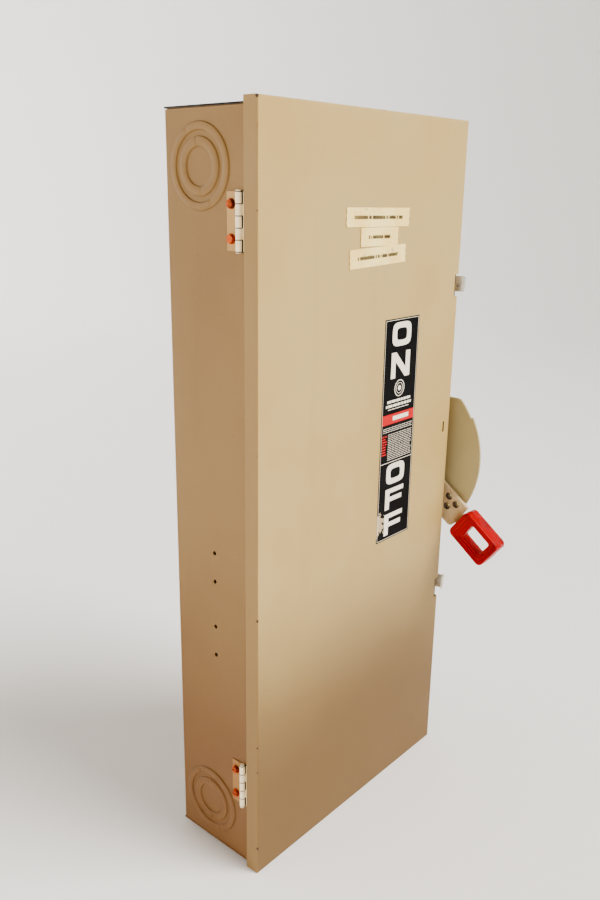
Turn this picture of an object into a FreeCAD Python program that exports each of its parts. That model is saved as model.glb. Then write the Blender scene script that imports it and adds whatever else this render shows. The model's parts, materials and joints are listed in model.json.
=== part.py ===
import FreeCAD, Part
import Sketcher
import math
import os
from types import SimpleNamespace

# Fused safety switch, 200 A, 240 V, three poles, in a surface-mounted sheet steel enclosure.
# Frame: origin at the middle of the back face, against the wall; +X to the right of someone facing
# the door, +Y into the wall, +Z up. Millimetres. Door closed, handle OFF, latches released.

# ---------------------------------------------------------------- driving dimensions

DIMENSIONS = {
    # enclosure and door
    "door_wide": 335.0, "door_high": 789.0, "overall_deep": 121.0, "door_flange": 16.5,
    "gauge": 1.5, "side_gap": 0.8, "end_overhang": 4.7, "door_gap": 1.0, "lip": 12.0,
    "bend": 2.5, "edge_round": 1.6, "seam": 0.9, "end_flange": 14.0,
    # wall fixing holes, and the spare holes in the left side
    "fixing_wide": 228.6, "fixing_high": 711.2, "fixing_r": 4.4,
    "kit_y": -58.0, "kit_r": 2.3, "kit_upper": -34.7, "kit_upper_gap": 31.7,
    "kit_lower": -117.9, "kit_lower_gap": 33.0,
    # concentric knockouts
    "knock_y": -46.8, "knock_z": 338.0, "knock_step": 0.7, "knock_end_x": 78.0,
    "knock_end_y": -58.0, "knock_r1": 37.7, "knock_r2": 31.4, "knock_r3": 25.2,
    "knock_r4": 17.5,
    # hinges
    "hinge_z": 292.0, "hinge_long": 51.0, "leaf_gauge": 1.2, "barrel_r": 2.9, "hinge_pin_r": 1.6,
    "pin_play": 0.05, "hinge_out": 3.0, "hinge_back": 22.2, "leaf_wide": 16.3,
    "knuckle_gap": 0.3, "leaf_clear": 3.4, "hinge_screw_pitch": 30.0, "hinge_screw_in": 10.6,
    # latches
    "latch_upper_z": 215.5, "latch_lower_z": -169.5, "notch_high": 26.0, "notch_wide": 8.0,
    "notch_deep": 9.0, "latch_half": 9.0, "latch_gauge": 1.5, "latch_out": 6.25,
    "latch_y": -75.0, "latch_pin_r": 2.0, "latch_eye_r": 3.5, "latch_lip": 7.7,
    "latch_reach": 45.4, "latch_open": 20.0, "latch_tab_r": 7.0, "ear_half": 5.0,
    "keeper_half": 19.0, "keeper_wide": 12.0, "keeper_thick": 3.0,
    # handle, guard and shaft
    "shaft_y": -41.0, "shaft_r": 8.0, "shaft_start": 90.0, "shaft_end": 196.0,
    "throw_half": 37.0, "arm_x": 177.6, "arm_gauge": 4.8, "arm_half": 19.0, "arm_long": 121.5,
    "hub_r": 22.5, "boss_r": 13.0, "tongue_half": 8.0, "tongue_end": 137.0,
    "grip_start": 124.5, "grip_end": 184.0, "grip_half": 20.5, "grip_thick": 21.0,
    "grip_x": 180.5, "window_start": 141.5, "window_end": 172.5, "window_half": 11.0,
    "padlock_at": 100.6, "padlock_up": 6.4, "padlock_pcr": 8.0, "padlock_r": 4.1,
    "guard_x": 187.5, "guard_gauge": 2.5, "guard_r": 115.3, "guard_step_r": 112.3,
    "guard_step_angle": 29.0, "guard_half": 76.5, "guard_corner": 9.0, "guard_rear": 26.0,
    "guard_foot_half": 60.0, "guard_foot": 12.0, "bushing_r": 11.0, "bushing_flange_r": 16.0,
    "bushing_flange": 3.0, "bushing_in": 7.0, "nut_r": 13.0,
    # insulating bases and the current path
    "pan_gauge": 2.0, "pan_left": -122.0, "pan_right": 156.0, "pan_low": -320.0,
    "pan_top": 160.0, "stud_r": 3.0, "pole_first": -76.0, "pole_pitch": 62.0,
    "base_front": -22.0, "base_left": -112.0, "base_right": 84.0, "line_base_low": 44.0,
    "line_base_top": 146.0, "centre_base_low": -92.0, "centre_base_top": 30.0,
    "load_base_low": -308.0, "load_base_top": -188.0, "strap": 3.0, "strap_half": 12.7,
    "jaw_in": 2.5, "jaw_out": 5.5, "jaw_front": -55.0, "jaw_low": 50.0, "jaw_high": 72.0,
    "line_strap_top": 138.0, "blade_half": 2.4, "blade_wide": 12.5, "blade_long": 66.0,
    "blade_rest": 74.0, "pivot_r": 4.0, "post_half": 13.0, "post_front": -52.0,
    "lug_half": 14.0, "lug_high": 18.0, "lug_front": -57.0, "wire_r": 8.5, "wire_y": -43.0,
    "lug_screw_r": 7.0, "line_lug_z": 100.0, "load_lug_z": -278.0, "load_strap_low": -300.0,
    "chute_low": 46.0, "chute_top": 92.0, "chute_front": -94.0, "chute_half": 19.0,
    "chute_board": 2.0, "chute_plate": 1.6, "chute_pitch": 6.0, "chute_notch": 8.0,
    "chute_notch_top": 74.0, "bar_near": 24.0, "bar_far": 40.0, "bar_rear": 14.5,
    "bar_front": 17.0, "bar_left": -98.0, "bar_right": 91.0, "drive_thick": 5.0,
    "drive_hub_r": 15.0, "drive_half": 12.0, "shield_low": 96.0, "shield_top": 160.0,
    "shield_front": -78.0, "shield_gauge": 2.0,
    # fuses, clips and barriers
    "fuse_top": -48.0, "fuse_blade": 35.0, "fuse_tube": 111.0, "fuse_cap": 14.0,
    "fuse_r": 20.3, "fuse_cap_r": 20.9, "fuse_y": -50.0, "fuse_blade_half": 14.3,
    "clip_front": -62.0, "clip_long": 28.0, "clip_leaf": 1.8, "clip_spring": 1.2,
    "barrier_gauge": 2.0, "barrier_front": -84.0, "barrier_low": -272.0, "barrier_top": -32.0,
    # mechanism
    "frame_left": 104.0, "frame_right": 148.5, "frame_gauge": 2.5, "frame_half": 60.0,
    "frame_nose": 15.0, "frame_front": -114.0, "crank_reach": 22.0, "crank_pin_r": 3.0,
    "crank_hub_r": 12.0, "crank_end_r": 6.5, "cheek": 4.0, "crank_left": 114.0,
    "crank_right": 134.0, "anchor_y": -107.0, "anchor_r": 3.0, "guide_x": 126.0,
    "guide_half": 5.0, "guide_eye_r": 6.5, "guide_rod_r": 3.0, "guide_shoulder_r": 8.0,
    "guide_shoulder": 31.0, "guide_fork": 54.5, "fork_slot": 4.6, "fork_tine": 3.0,
    "coil_r": 6.0, "coil_wire_r": 1.1, "coil_pitch": 4.2, "coil_start": 9.0,
    "lock_x": 151.3, "lock_gauge": 2.5, "lock_y": -70.0, "lock_z": 6.0, "lock_pin_r": 3.0,
    "slot_x": 155.0, "slot_z": 47.4, "slot_wide": 2.5, "slot_high": 13.0,
    # door furniture and the ground bar
    "label_x": 57.8, "label_z": 61.2, "label_wide": 63.4, "label_high": 255.4,
    "label_thick": 0.3, "tag_thick": 0.15, "card_wide": 150.0, "card_high": 190.0,
    "card_z": -160.0, "rib_high": 7.0, "rib_half": 13.0, "rib_long": 280.0, "rib_top": 245.0,
    "rib_bottom": -315.0, "ground_x": -142.0, "ground_z": -290.0, "ground_long": 90.0,
    "ground_wide": 14.0, "ground_thick": 12.0, "ground_off": 8.0,
}

doc = FreeCAD.newDocument("FusedSafetySwitch")
sheet = doc.addObject("Spreadsheet::Sheet", "Dims")
for row, (alias, value) in enumerate(DIMENSIONS.items(), start=1):
    sheet.set(f"A{row}", alias)
    sheet.set(f"B{row}", str(value))
    sheet.setAlias(f"B{row}", alias)
doc.recompute()


class Size:
    """A length made from cells of the sheet: the number, and the expression that gives it."""

    def __init__(self, value, text=None):
        self.value = float(value)
        self.text = f"({value})" if text is None else text

    def joined(self, sign, other, result):
        return Size(result, f"({self.text} {sign} {other.text})")

    def __add__(self, other):
        other = sized(other)
        return self.joined("+", other, self.value + other.value)

    def __sub__(self, other):
        other = sized(other)
        return self.joined("-", other, self.value - other.value)

    def __mul__(self, other):
        other = sized(other)
        return self.joined("*", other, self.value * other.value)

    def __truediv__(self, other):
        other = sized(other)
        return self.joined("/", other, self.value / other.value)

    def __radd__(self, other):
        return sized(other) + self

    def __rsub__(self, other):
        return sized(other) - self

    def __rmul__(self, other):
        return sized(other) * self

    def __neg__(self):
        return sized(-1) * self


def sized(value):
    return value if isinstance(value, Size) else Size(value)


d = SimpleNamespace(**{
    alias: Size(sheet.get(alias), f"Dims.{alias}") for alias in DIMENSIONS})

# ---------------------------------------------------------------- helpers

FINISHED = []
TURNS = {
    "x": FreeCAD.Rotation(FreeCAD.Vector(0, 1, 0), 90),
    "y": FreeCAD.Rotation(FreeCAD.Vector(1, 0, 0), -90),
    "z": FreeCAD.Rotation(),
}


def at(obj, x=0, y=0, z=0):
    """Binds an object's position to the sheet."""
    for axis, value in zip("xyz", (x, y, z)):
        obj.setExpression(f"Placement.Base.{axis}", sized(value).text)
    return obj


def span(pair):
    """The two limits of a run as sheet lengths, the lower first."""
    return sorted((sized(end) for end in pair), key=lambda end: end.value)


def block(name, x, y, z):
    """A box between two limits on each axis."""
    box = doc.addObject("Part::Box", name)
    limits = [span(pair) for pair in (x, y, z)]
    for side, (low, high) in zip(("Length", "Width", "Height"), limits):
        box.setExpression(side, (high - low).text)
    return at(box, *(low for low, high in limits))


def along(name, kind, axis, radius, run, x, y, z):
    """A cylinder or prism along one axis, through the point given on the other two."""
    solid = doc.addObject(kind, name)
    low, high = span(run)
    round_size = "Radius" if kind == "Part::Cylinder" else "Circumradius"
    solid.setExpression(round_size, sized(radius).text)
    solid.setExpression("Height", (high - low).text)
    solid.Placement = FreeCAD.Placement(FreeCAD.Vector(), TURNS[axis])
    place = {"x": x, "y": y, "z": z, axis: low}
    return at(solid, place["x"], place["y"], place["z"])


def rod(name, axis, radius, run, x=0, y=0, z=0):
    return along(name, "Part::Cylinder", axis, radius, run, x, y, z)


def hexagon(name, axis, radius, run, x=0, y=0, z=0):
    return along(name, "Part::Prism", axis, radius, run, x, y, z)


def fuse(name, *parts):
    joined = doc.addObject("Part::MultiFuse", name)
    joined.Shapes = list(parts)
    joined.Refine = True
    return joined


def cut(name, base, *tools):
    done = doc.addObject("Part::Cut", name)
    done.Base = base
    done.Tool = tools[0] if len(tools) == 1 else fuse(name + "_tools", *tools)
    done.Refine = True
    return done


def common(name, first, second):
    shared = doc.addObject("Part::Common", name)
    shared.Base = first
    shared.Tool = second
    return shared


def group(name, *parts):
    bundle = doc.addObject("Part::Compound", name)
    bundle.Links = list(parts)
    return bundle


def rounded(name, base, radius, wanted):
    """Rounds every edge that the test accepts."""
    doc.recompute()
    soft = doc.addObject("Part::Fillet", name)
    soft.Base = base
    soft.Edges = [(n, radius.value, radius.value)
                  for n, edge in enumerate(base.Shape.Edges, start=1) if wanted(edge.BoundBox)]
    return soft


def slab(name, points, axis, run, arcs=None):
    """A plate with the outline given, extruded along one axis between two limits.

    The points are number pairs in the plane of the other two axes. arcs maps the index of a side
    to the point half way along the arc that replaces it.
    """
    first, second = {"x": (1, 2), "y": (0, 2), "z": (0, 1)}[axis]
    third = "xyz".index(axis)
    low, high = span(run)

    def spot(pair):
        place = [0.0, 0.0, 0.0]
        place[first], place[second], place[third] = pair[0], pair[1], low.value
        return FreeCAD.Vector(*place)

    edges = []
    for n, here in enumerate(points):
        there = points[(n + 1) % len(points)]
        if arcs and n in arcs:
            edges.append(Part.Arc(spot(here), spot(arcs[n]), spot(there)).toShape())
        else:
            edges.append(Part.LineSegment(spot(here), spot(there)).toShape())
    travel = [0.0, 0.0, 0.0]
    travel[third] = high.value - low.value
    solid = doc.addObject("Part::Feature", name)
    solid.Shape = Part.Face(Part.Wire(edges)).extrude(FreeCAD.Vector(*travel))
    return solid


def turned(obj, angle, x=0, y=0, z=0, axis=(1, 0, 0)):
    """Turns an object about its own origin and puts that origin at a point."""
    turn = FreeCAD.Rotation(FreeCAD.Vector(*axis), sized(angle).value)
    obj.Placement = FreeCAD.Placement(FreeCAD.Vector(), turn)
    return at(obj, x, y, z)


def node(label, obj):
    """Marks an object as a finished sub-part, whose label names its file."""
    obj.Label = label
    FINISHED.append(obj)
    return obj


def sketch_on(body, role):
    """An empty sketch on one of a body's own origin planes."""
    sketch = body.newObject("Sketcher::SketchObject", body.Name + "_sketch")
    plane = [feature for feature in body.Origin.OriginFeatures if feature.Role == role][0]
    sketch.AttachmentSupport = [(plane, "")]
    sketch.MapMode = "FlatFace"
    return sketch


def rectangle(sketch, x, y):
    """Draws a rectangle between two limits each way, every limit bound to the sheet."""
    (left, right), (low, high) = span(x), span(y)
    spots = [FreeCAD.Vector(a.value, b.value, 0) for a, b in (
        (left, low), (right, low), (right, high), (left, high))]
    first = sketch.GeometryCount
    for n in range(4):
        sketch.addGeometry(Part.LineSegment(spots[n], spots[(n + 1) % 4]), False)
    for n in range(4):
        sketch.addConstraint(
            Sketcher.Constraint("Coincident", first + n, 2, first + (n + 1) % 4, 1))
    for n, kind in enumerate(("Horizontal", "Vertical", "Horizontal", "Vertical")):
        sketch.addConstraint(Sketcher.Constraint(kind, first + n))
    for kind, line, limit in (("DistanceX", 0, left), ("DistanceX", 1, right),
                              ("DistanceY", 0, low), ("DistanceY", 2, high)):
        bound_distance(sketch, kind, first + line, 1, limit)


def circle(sketch, radius, x, y):
    """Draws a circle whose middle and radius are bound to the sheet."""
    middle = FreeCAD.Vector(sized(x).value, sized(y).value, 0)
    ring = sketch.addGeometry(
        Part.Circle(middle, FreeCAD.Vector(0, 0, 1), sized(radius).value), False)
    row = sketch.addConstraint(Sketcher.Constraint("Radius", ring, sized(radius).value))
    sketch.setExpression(f"Constraints[{row}]", sized(radius).text)
    bound_distance(sketch, "DistanceX", ring, 3, sized(x))
    bound_distance(sketch, "DistanceY", ring, 3, sized(y))


def bound_distance(sketch, kind, geometry, point, length):
    """Holds one point of a sketch at a sheet length from the sketch's origin."""
    row = sketch.addConstraint(
        Sketcher.Constraint(kind, -1, 1, geometry, point, length.value))
    sketch.setExpression(f"Constraints[{row}]", length.text)


def pad(body, sketch, length):
    feature = body.newObject("PartDesign::Pad", body.Name + "_pad")
    feature.Profile = sketch
    feature.setExpression("Length", length.text)
    doc.recompute()
    return feature


def pocket(body, sketch, length):
    """Cuts a sketch into the body, on whichever side of the sketch the metal lies."""
    before = body.Shape.Volume
    feature = body.newObject("PartDesign::Pocket", body.Name + "_pocket")
    feature.Profile = sketch
    feature.setExpression("Length", length.text)
    doc.recompute()
    if not feature.Shape.isValid() or feature.Shape.Volume > before - 1e-3:
        feature.Reversed = True
        doc.recompute()
    return feature


def soften(body, last, radius, wanted):
    """Rounds every edge of the body that the test accepts."""
    feature = body.newObject("PartDesign::Fillet", body.Name + "_round")
    names = [f"Edge{n}" for n, edge in enumerate(last.Shape.Edges, start=1)
             if wanted(edge.BoundBox)]
    feature.Base = (last, names)
    feature.setExpression("Radius", radius.text)
    doc.recompute()
    return feature


# ---------------------------------------------------------------- places used by several parts

HALF_DOOR = d.door_wide / 2
FRONT = -d.overall_deep
DOOR_INSIDE = FRONT + d.gauge
RIM = DOOR_INSIDE + d.door_gap
BOX_SIDE = HALF_DOOR - d.gauge - d.side_gap
WALL_INSIDE = BOX_SIDE - d.gauge
BOX_END = d.door_high / 2 - d.end_overhang
BACK = -d.gauge
PAN_FRONT = BACK - d.pan_gauge
STRAP_FRONT = d.base_front - d.strap
HINGE_X = -BOX_SIDE - d.hinge_out
HINGE_Y = FRONT + d.hinge_back
LATCH_X = BOX_SIDE + d.latch_out
HINGES = {"upper": d.hinge_z, "lower": -d.hinge_z}
LATCHES = {"upper": d.latch_upper_z, "lower": d.latch_lower_z}
POLES = [d.pole_first + n * d.pole_pitch for n in range(3)]
FUSE_BOTTOM = d.fuse_top - 2 * d.fuse_blade - d.fuse_tube
BEARING_R = d.shaft_r + d.pin_play


def spread(middle, half):
    """The run that reaches the same way on both sides of a middle."""
    return middle - half, middle + half


def both_sides(name, middle, near, far, y, z):
    """A pair of plates, one on each side of a pole's middle."""
    return [block(f"{name}_{way}", (middle + way * near, middle + way * far), y, z)
            for way in (-1, 1)]


def screw(name, axis, face, way, reach, radius=4.7, shank=2.2, **place):
    """A slotted hexagon washer-head screw whose head stands on a face, looking one way."""
    washer, head = 0.19 * radius, 0.7 * radius
    solid = fuse(
        f"{name}_blank",
        rod(f"{name}_washer", axis, radius, (face, face + way * washer), **place),
        hexagon(f"{name}_hex", axis, 0.85 * radius, (face, face + way * head), **place),
        rod(f"{name}_shank", axis, shank, (face - way * reach, face), **place))
    across = [side for side in "xyz" if side != axis]
    limits = {axis: (face + way * (head - 0.9), face + way * (head + 1)),
              across[0]: spread(sized(place.get(across[0], 0)), 1.1 * radius),
              across[1]: spread(sized(place.get(across[1], 0)), 0.12 * radius)}
    return cut(name, solid, block(f"{name}_slot", limits["x"], limits["y"], limits["z"]))


# ---------------------------------------------------------------- enclosure


def knockout(name, axis, outer, way, **place):
    """The two rings that a concentric knockout presses outwards: metal to add, and to take off."""
    added, removed = [], []
    for n, (large, small) in enumerate(((d.knock_r1, d.knock_r2), (d.knock_r3, d.knock_r4))):
        for metal, start, end in (
                (added, outer - way * 0.1, outer + way * d.knock_step),
                (removed, outer - way * (d.gauge + 1), outer - way * (d.gauge - d.knock_step))):
            tag = f"{name}_{n}_{'add' if metal is added else 'cut'}"
            disc = rod(f"{tag}_disc", axis, large, (start, end), **place)
            core = rod(f"{tag}_core", axis, small, (start, end), **place)
            metal.append(cut(tag, disc, core))
    return added, removed


def enclosure_shell():
    """Back and both sides in one bent sheet, with a stiffening lip turned in down each front edge."""
    tall = spread(sized(0), BOX_END - d.gauge - d.seam)
    through = spread(sized(0), BOX_END)
    hull = block("shell_hull", spread(sized(0), BOX_SIDE), (RIM, 0), tall)
    bent = rounded("shell_bent", hull, d.bend, lambda box: box.ZLength > 100 and box.YMin > -1)
    hollow = block("shell_hollow", spread(sized(0), WALL_INSIDE), (RIM + d.gauge, BACK), through)
    room = rounded("shell_room", hollow, d.bend - d.gauge,
                   lambda box: box.ZLength > 100 and box.YMin > -2)
    mouth = block("shell_mouth", spread(sized(0), BOX_SIDE - d.lip),
                  (RIM - 1, RIM + d.gauge + 1), through)
    added, removed = [], []
    for side, way in (("left", -1), ("right", 1)):
        for end, level in (("top", d.knock_z), ("bottom", -d.knock_z)):
            more, less = knockout(f"knock_{side}_{end}", "x", way * BOX_SIDE, way,
                                  y=d.knock_y, z=level)
            added += more
            removed += less
    skin = (-BOX_SIDE - 1, -WALL_INSIDE + 1)
    for level in (d.kit_upper, d.kit_upper - d.kit_upper_gap,
                  d.kit_lower, d.kit_lower - d.kit_lower_gap):
        removed.append(rod("kit_hole", "x", d.kit_r, skin, y=d.kit_y, z=level))
    for across in (-1, 1):
        for up in (-1, 1):
            removed.append(rod("fixing_hole", "y", d.fixing_r, (BACK - 1, 1),
                               x=across * d.fixing_wide / 2, z=up * d.fixing_high / 2))
    for which, level in HINGES.items():
        removed.append(block(f"hinge_notch_{which}", (-BOX_SIDE - 1, -WALL_INSIDE + 0.8),
                             (RIM - 1, HINGE_Y + 1), spread(level, d.hinge_long / 2 + 0.5)))
        for way in (-1, 1):
            removed.append(rod("hinge_screw_hole", "x", 2.3, skin,
                               y=HINGE_Y + d.hinge_screw_in,
                               z=level + way * d.hinge_screw_pitch / 2))
    for which, level in LATCHES.items():
        removed.append(block(f"keeper_notch_{which}", (BOX_SIDE - d.lip - 2, BOX_SIDE + 1),
                             (RIM - 1, FRONT + d.notch_deep + 1),
                             spread(level, d.keeper_half + 2)))
    removed.append(block("interlock_notch", (BOX_SIDE - d.lip - 2, WALL_INSIDE - 0.5),
                         (RIM - 1, RIM + d.gauge + 1), (12, 60)))
    removed.append(rod("bushing_hole", "x", d.bushing_r, (WALL_INSIDE - 1, BOX_SIDE + 1),
                       y=d.shaft_y))
    skin_only = cut("shell_skin", bent, room, mouth)
    return cut("shell", fuse("shell_ringed", skin_only, *added), *removed)


def end_wall(name, way):
    """The top or bottom of the box: a tray over the wrapped sheet, its flanges welded inside it."""
    outer, inner = way * BOX_END, way * (BOX_END - d.gauge)
    tip = way * (BOX_END - d.gauge - d.end_flange)
    tray = fuse(
        f"{name}_tray",
        block(f"{name}_plate", spread(sized(0), BOX_SIDE), (RIM, 0), (inner, outer)),
        *both_sides(f"{name}_side", sized(0), WALL_INSIDE - d.gauge, WALL_INSIDE,
                    (RIM + d.gauge + d.seam, BACK - d.seam), (tip, inner)),
        block(f"{name}_rear", spread(sized(0), WALL_INSIDE - 2 * d.gauge),
              (BACK - d.gauge, BACK), (tip, inner)),
        block(f"{name}_front", spread(sized(0), BOX_SIDE - d.lip), (RIM, RIM + d.gauge),
              (tip, inner)))
    added, removed = [], []
    for n, across in enumerate((-1, 1)):
        more, less = knockout(f"{name}_knock{n}", "z", outer, way,
                              x=across * d.knock_end_x, y=d.knock_end_y)
        added += more
        removed += less
    return cut(name, fuse(f"{name}_ringed", tray, *added), *removed)


node("enclosure_shell", enclosure_shell())
node("top_end_wall", end_wall("top_wall", 1))
node("bottom_end_wall", end_wall("bottom_wall", -1))


# ---------------------------------------------------------------- door


def door_panel():
    """A pan with a flange on all four sides, notched at the latches and slotted at the release."""
    body = doc.addObject("PartDesign::Body", "door_body")
    outline = sketch_on(body, "XZ_Plane")
    rectangle(outline, spread(sized(0), HALF_DOOR), spread(sized(0), d.door_high / 2))
    pad(body, outline, d.door_flange)
    hollow = sketch_on(body, "XZ_Plane")
    rectangle(hollow, spread(sized(0), HALF_DOOR - d.gauge),
              spread(sized(0), d.door_high / 2 - d.gauge))
    pan = pocket(body, hollow, d.door_flange - d.gauge)
    front = pan.Shape.BoundBox.YMin
    soften(body, pan, d.edge_round,
           lambda box: box.YMax < front + 0.01 and max(box.XLength, box.ZLength) > 100)
    at(body, y=FRONT + d.door_flange)
    openings = [
        block(f"door_notch_{which}", (HALF_DOOR - d.notch_wide, HALF_DOOR + 1),
              (FRONT - 1, FRONT + d.notch_deep), spread(level, d.notch_high / 2))
        for which, level in LATCHES.items()]
    slot = block("release_slot", spread(d.slot_x, d.slot_wide / 2), (FRONT - 1, DOOR_INSIDE + 1),
                 spread(d.slot_z, d.slot_high / 2))
    return cut("door", body, slot, *openings)


def door_rib(name, level):
    """A hat-section stiffener welded across the inside of the door."""
    long_way = spread(sized(0), d.rib_long / 2)
    hat = block(f"{name}_hat", long_way, (DOOR_INSIDE, DOOR_INSIDE + d.rib_high),
                spread(level, d.rib_half))
    hollow = block(f"{name}_hollow", spread(sized(0), d.rib_long / 2 + 1),
                   (DOOR_INSIDE - 1, DOOR_INSIDE + d.rib_high - d.gauge),
                   spread(level, d.rib_half - d.gauge))
    return cut(name, hat, hollow)


def keeper(which, level):
    """The blackened strike behind a notch, which the latch's lip bears on."""
    plate = block(f"keeper_{which}_plate",
                  (HALF_DOOR - d.gauge - d.keeper_wide, HALF_DOOR - d.gauge),
                  (DOOR_INSIDE, DOOR_INSIDE + d.keeper_thick), spread(level, d.keeper_half))
    relief = block(f"keeper_{which}_relief", (0, HALF_DOOR),
                   (DOOR_INSIDE - 1, DOOR_INSIDE + d.keeper_thick / 2),
                   spread(level, d.notch_high / 2))
    return cut(f"keeper_{which}", plate, relief)


node("door_panel", door_panel())
node("door_stiffeners", group("door_ribs", door_rib("rib_upper", d.rib_top),
                              door_rib("rib_lower", d.rib_bottom)))
node("latch_keepers", group("keepers", *(keeper(*latch) for latch in LATCHES.items())))
node("interlock_tongue", fuse(
    "tongue",
    block("tongue_foot", (147, 158), (DOOR_INSIDE, DOOR_INSIDE + 2), (24, 38)),
    block("tongue_shelf", (147, 158), (DOOR_INSIDE, -104), (24, 26)),
    block("tongue_lip", (147, 158), (-106, -104), (18, 26))))
node("switch_label", block("label_plate", spread(d.label_x, d.label_wide / 2),
                           (FRONT - d.label_thick, FRONT),
                           spread(d.label_z, d.label_high / 2)))
TAGS = [(-45.7, 59.1, 284.9, 303.4), (-22.1, 40.6, 265.9, 284.3), (-39.0, 55.4, 246.3, 265.2)]
node("circuit_tags", group("tags", *(
    block(f"tag_{n}", (left, right), (FRONT - d.tag_thick, FRONT), (low, high))
    for n, (left, right, low, high) in enumerate(TAGS))))
node("wiring_card", block("card", spread(sized(0), d.card_wide / 2),
                          (DOOR_INSIDE, DOOR_INSIDE + d.tag_thick),
                          spread(d.card_z, d.card_high / 2)))


# ---------------------------------------------------------------- hinges


def knuckle_run(level, n):
    """The low and high limit of one of five knuckles, counted from the bottom."""
    low = level - d.hinge_long / 2 + n * d.hinge_long / 5
    return low + d.knuckle_gap / 2, low + d.hinge_long / 5 - d.knuckle_gap / 2


def hinge_leaf(name, level, on_box):
    """Half a butt hinge: knuckles 1, 3 and 5 belong to the box, and 2 and 4 to the door."""
    whole = spread(level, d.hinge_long / 2 - d.knuckle_gap / 2)
    if on_box:
        x = (-BOX_SIDE - d.leaf_gauge, -BOX_SIDE)
        plate_y = (HINGE_Y + d.leaf_clear, HINGE_Y + d.leaf_wide)
        root_y = (HINGE_Y, HINGE_Y + d.leaf_clear + 0.5)
    else:
        x = (-HALF_DOOR + d.gauge, -HALF_DOOR + d.gauge + d.leaf_gauge)
        plate_y = (DOOR_INSIDE + 1.5, HINGE_Y - d.leaf_clear)
        root_y = (HINGE_Y - d.leaf_clear - 0.5, HINGE_Y)
    metal = [block(f"{name}_plate", x, plate_y, whole)]
    for n in (0, 2, 4) if on_box else (1, 3):
        run = knuckle_run(level, n)
        metal.append(block(f"{name}_root{n}", x, root_y, run))
        metal.append(rod(f"{name}_knuckle{n}", "z", d.barrel_r, run, x=HINGE_X, y=HINGE_Y))
    bore_r = d.hinge_pin_r if on_box else d.hinge_pin_r + d.pin_play
    holes = [rod(f"{name}_bore", "z", bore_r, spread(level, d.hinge_long), x=HINGE_X, y=HINGE_Y)]
    if on_box:
        holes += [rod(f"{name}_hole{way}", "x", 2.3, (-BOX_SIDE - 5, -BOX_SIDE + 1),
                      y=HINGE_Y + d.hinge_screw_in, z=level + way * d.hinge_screw_pitch / 2)
                  for way in (-1, 1)]
    return cut(name, fuse(f"{name}_blank", *metal), *holes)


def hinge_pin(name, level):
    shank = rod(f"{name}_shank", "z", d.hinge_pin_r, spread(level, d.hinge_long / 2 + 0.4),
                x=HINGE_X, y=HINGE_Y)
    heads = [rod(f"{name}_head{way}", "z", d.barrel_r - 0.4,
                 (level + way * (d.hinge_long / 2 + 0.2), level + way * (d.hinge_long / 2 + 1.2)),
                 x=HINGE_X, y=HINGE_Y) for way in (-1, 1)]
    return fuse(name, shank, *heads)


for label, on_box in (("hinge_leaves_box", True), ("hinge_leaves_door", False)):
    node(label, group(f"{label}_pair", *(
        hinge_leaf(f"{label}_{which}", level, on_box) for which, level in HINGES.items())))
node("hinge_pins", group("hinge_pin_pair", *(
    hinge_pin(f"hinge_pin_{which}", level) for which, level in HINGES.items())))
node("hinge_screws", group("hinge_screw_set", *(
    screw(f"hinge_screw_{which}_{way}", "x", -BOX_SIDE - d.leaf_gauge, -1, 9.0,
          y=HINGE_Y + d.hinge_screw_in, z=level + way * d.hinge_screw_pitch / 2)
    for which, level in HINGES.items() for way in (-1, 1))))


# ---------------------------------------------------------------- latches

EAR_LOW = d.latch_half + 1.0
EAR_HIGH = EAR_LOW + d.gauge


def latch_bracket(name, level):
    """A plate spot-welded to the side, with two ears that carry the latch's pin."""
    plate = block(f"{name}_plate", (BOX_SIDE, BOX_SIDE + d.gauge), (d.latch_y - 5, d.latch_y + 16),
                  spread(level, EAR_HIGH))
    ears = [block(f"{name}_ear{way}", (BOX_SIDE, LATCH_X + 4), spread(d.latch_y, d.ear_half),
                  (level + way * EAR_LOW, level + way * EAR_HIGH)) for way in (-1, 1)]
    bore = rod(f"{name}_bore", "z", d.latch_pin_r, spread(level, 20), x=LATCH_X, y=d.latch_y)
    return cut(name, fuse(f"{name}_blank", plate, *ears), bore)


def latch_pin(name, level):
    shank = rod(f"{name}_shank", "z", d.latch_pin_r, spread(level, EAR_HIGH + 0.8),
                x=LATCH_X, y=d.latch_y)
    head = rod(f"{name}_head", "z", d.latch_pin_r + 1.2, (level + EAR_HIGH, level + EAR_HIGH + 1.2),
               x=LATCH_X, y=d.latch_y)
    return fuse(name, shank, head)


def latch_strap(name):
    """A strip latch about its own pin: eye, arm, lip turned in over the keeper, finger curl."""
    whole = spread(sized(0), d.latch_half)
    arm_near = -(d.latch_out - 2 * d.latch_gauge)
    arm_far = arm_near + d.latch_gauge
    eye = rod(f"{name}_eye", "z", d.latch_eye_r, whole)
    arm = block(f"{name}_arm", (arm_near, arm_far), (-d.latch_reach, 0), whole)
    lip = block(f"{name}_lip", (arm_near - d.latch_lip, arm_near),
                (-d.latch_reach, -d.latch_reach + d.latch_gauge), spread(sized(0), 8))
    outer = d.latch_tab_r.value
    inner = outer - d.latch_gauge.value
    middle_x = arm_far.value + outer
    middle_y = -d.latch_reach.value + outer
    diagonal = math.sqrt(0.5)
    curl = slab(f"{name}_curl", [
        (middle_x - outer, middle_y), (middle_x, middle_y - outer),
        (middle_x, middle_y - inner), (middle_x - inner, middle_y)], "z", spread(sized(0), 7),
        arcs={0: (middle_x - outer * diagonal, middle_y - outer * diagonal),
              2: (middle_x - inner * diagonal, middle_y - inner * diagonal)})
    bore = rod(f"{name}_bore", "z", d.latch_pin_r + d.pin_play, spread(sized(0), 20))
    return cut(name, fuse(f"{name}_blank", eye, arm, lip, curl), bore)


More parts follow.
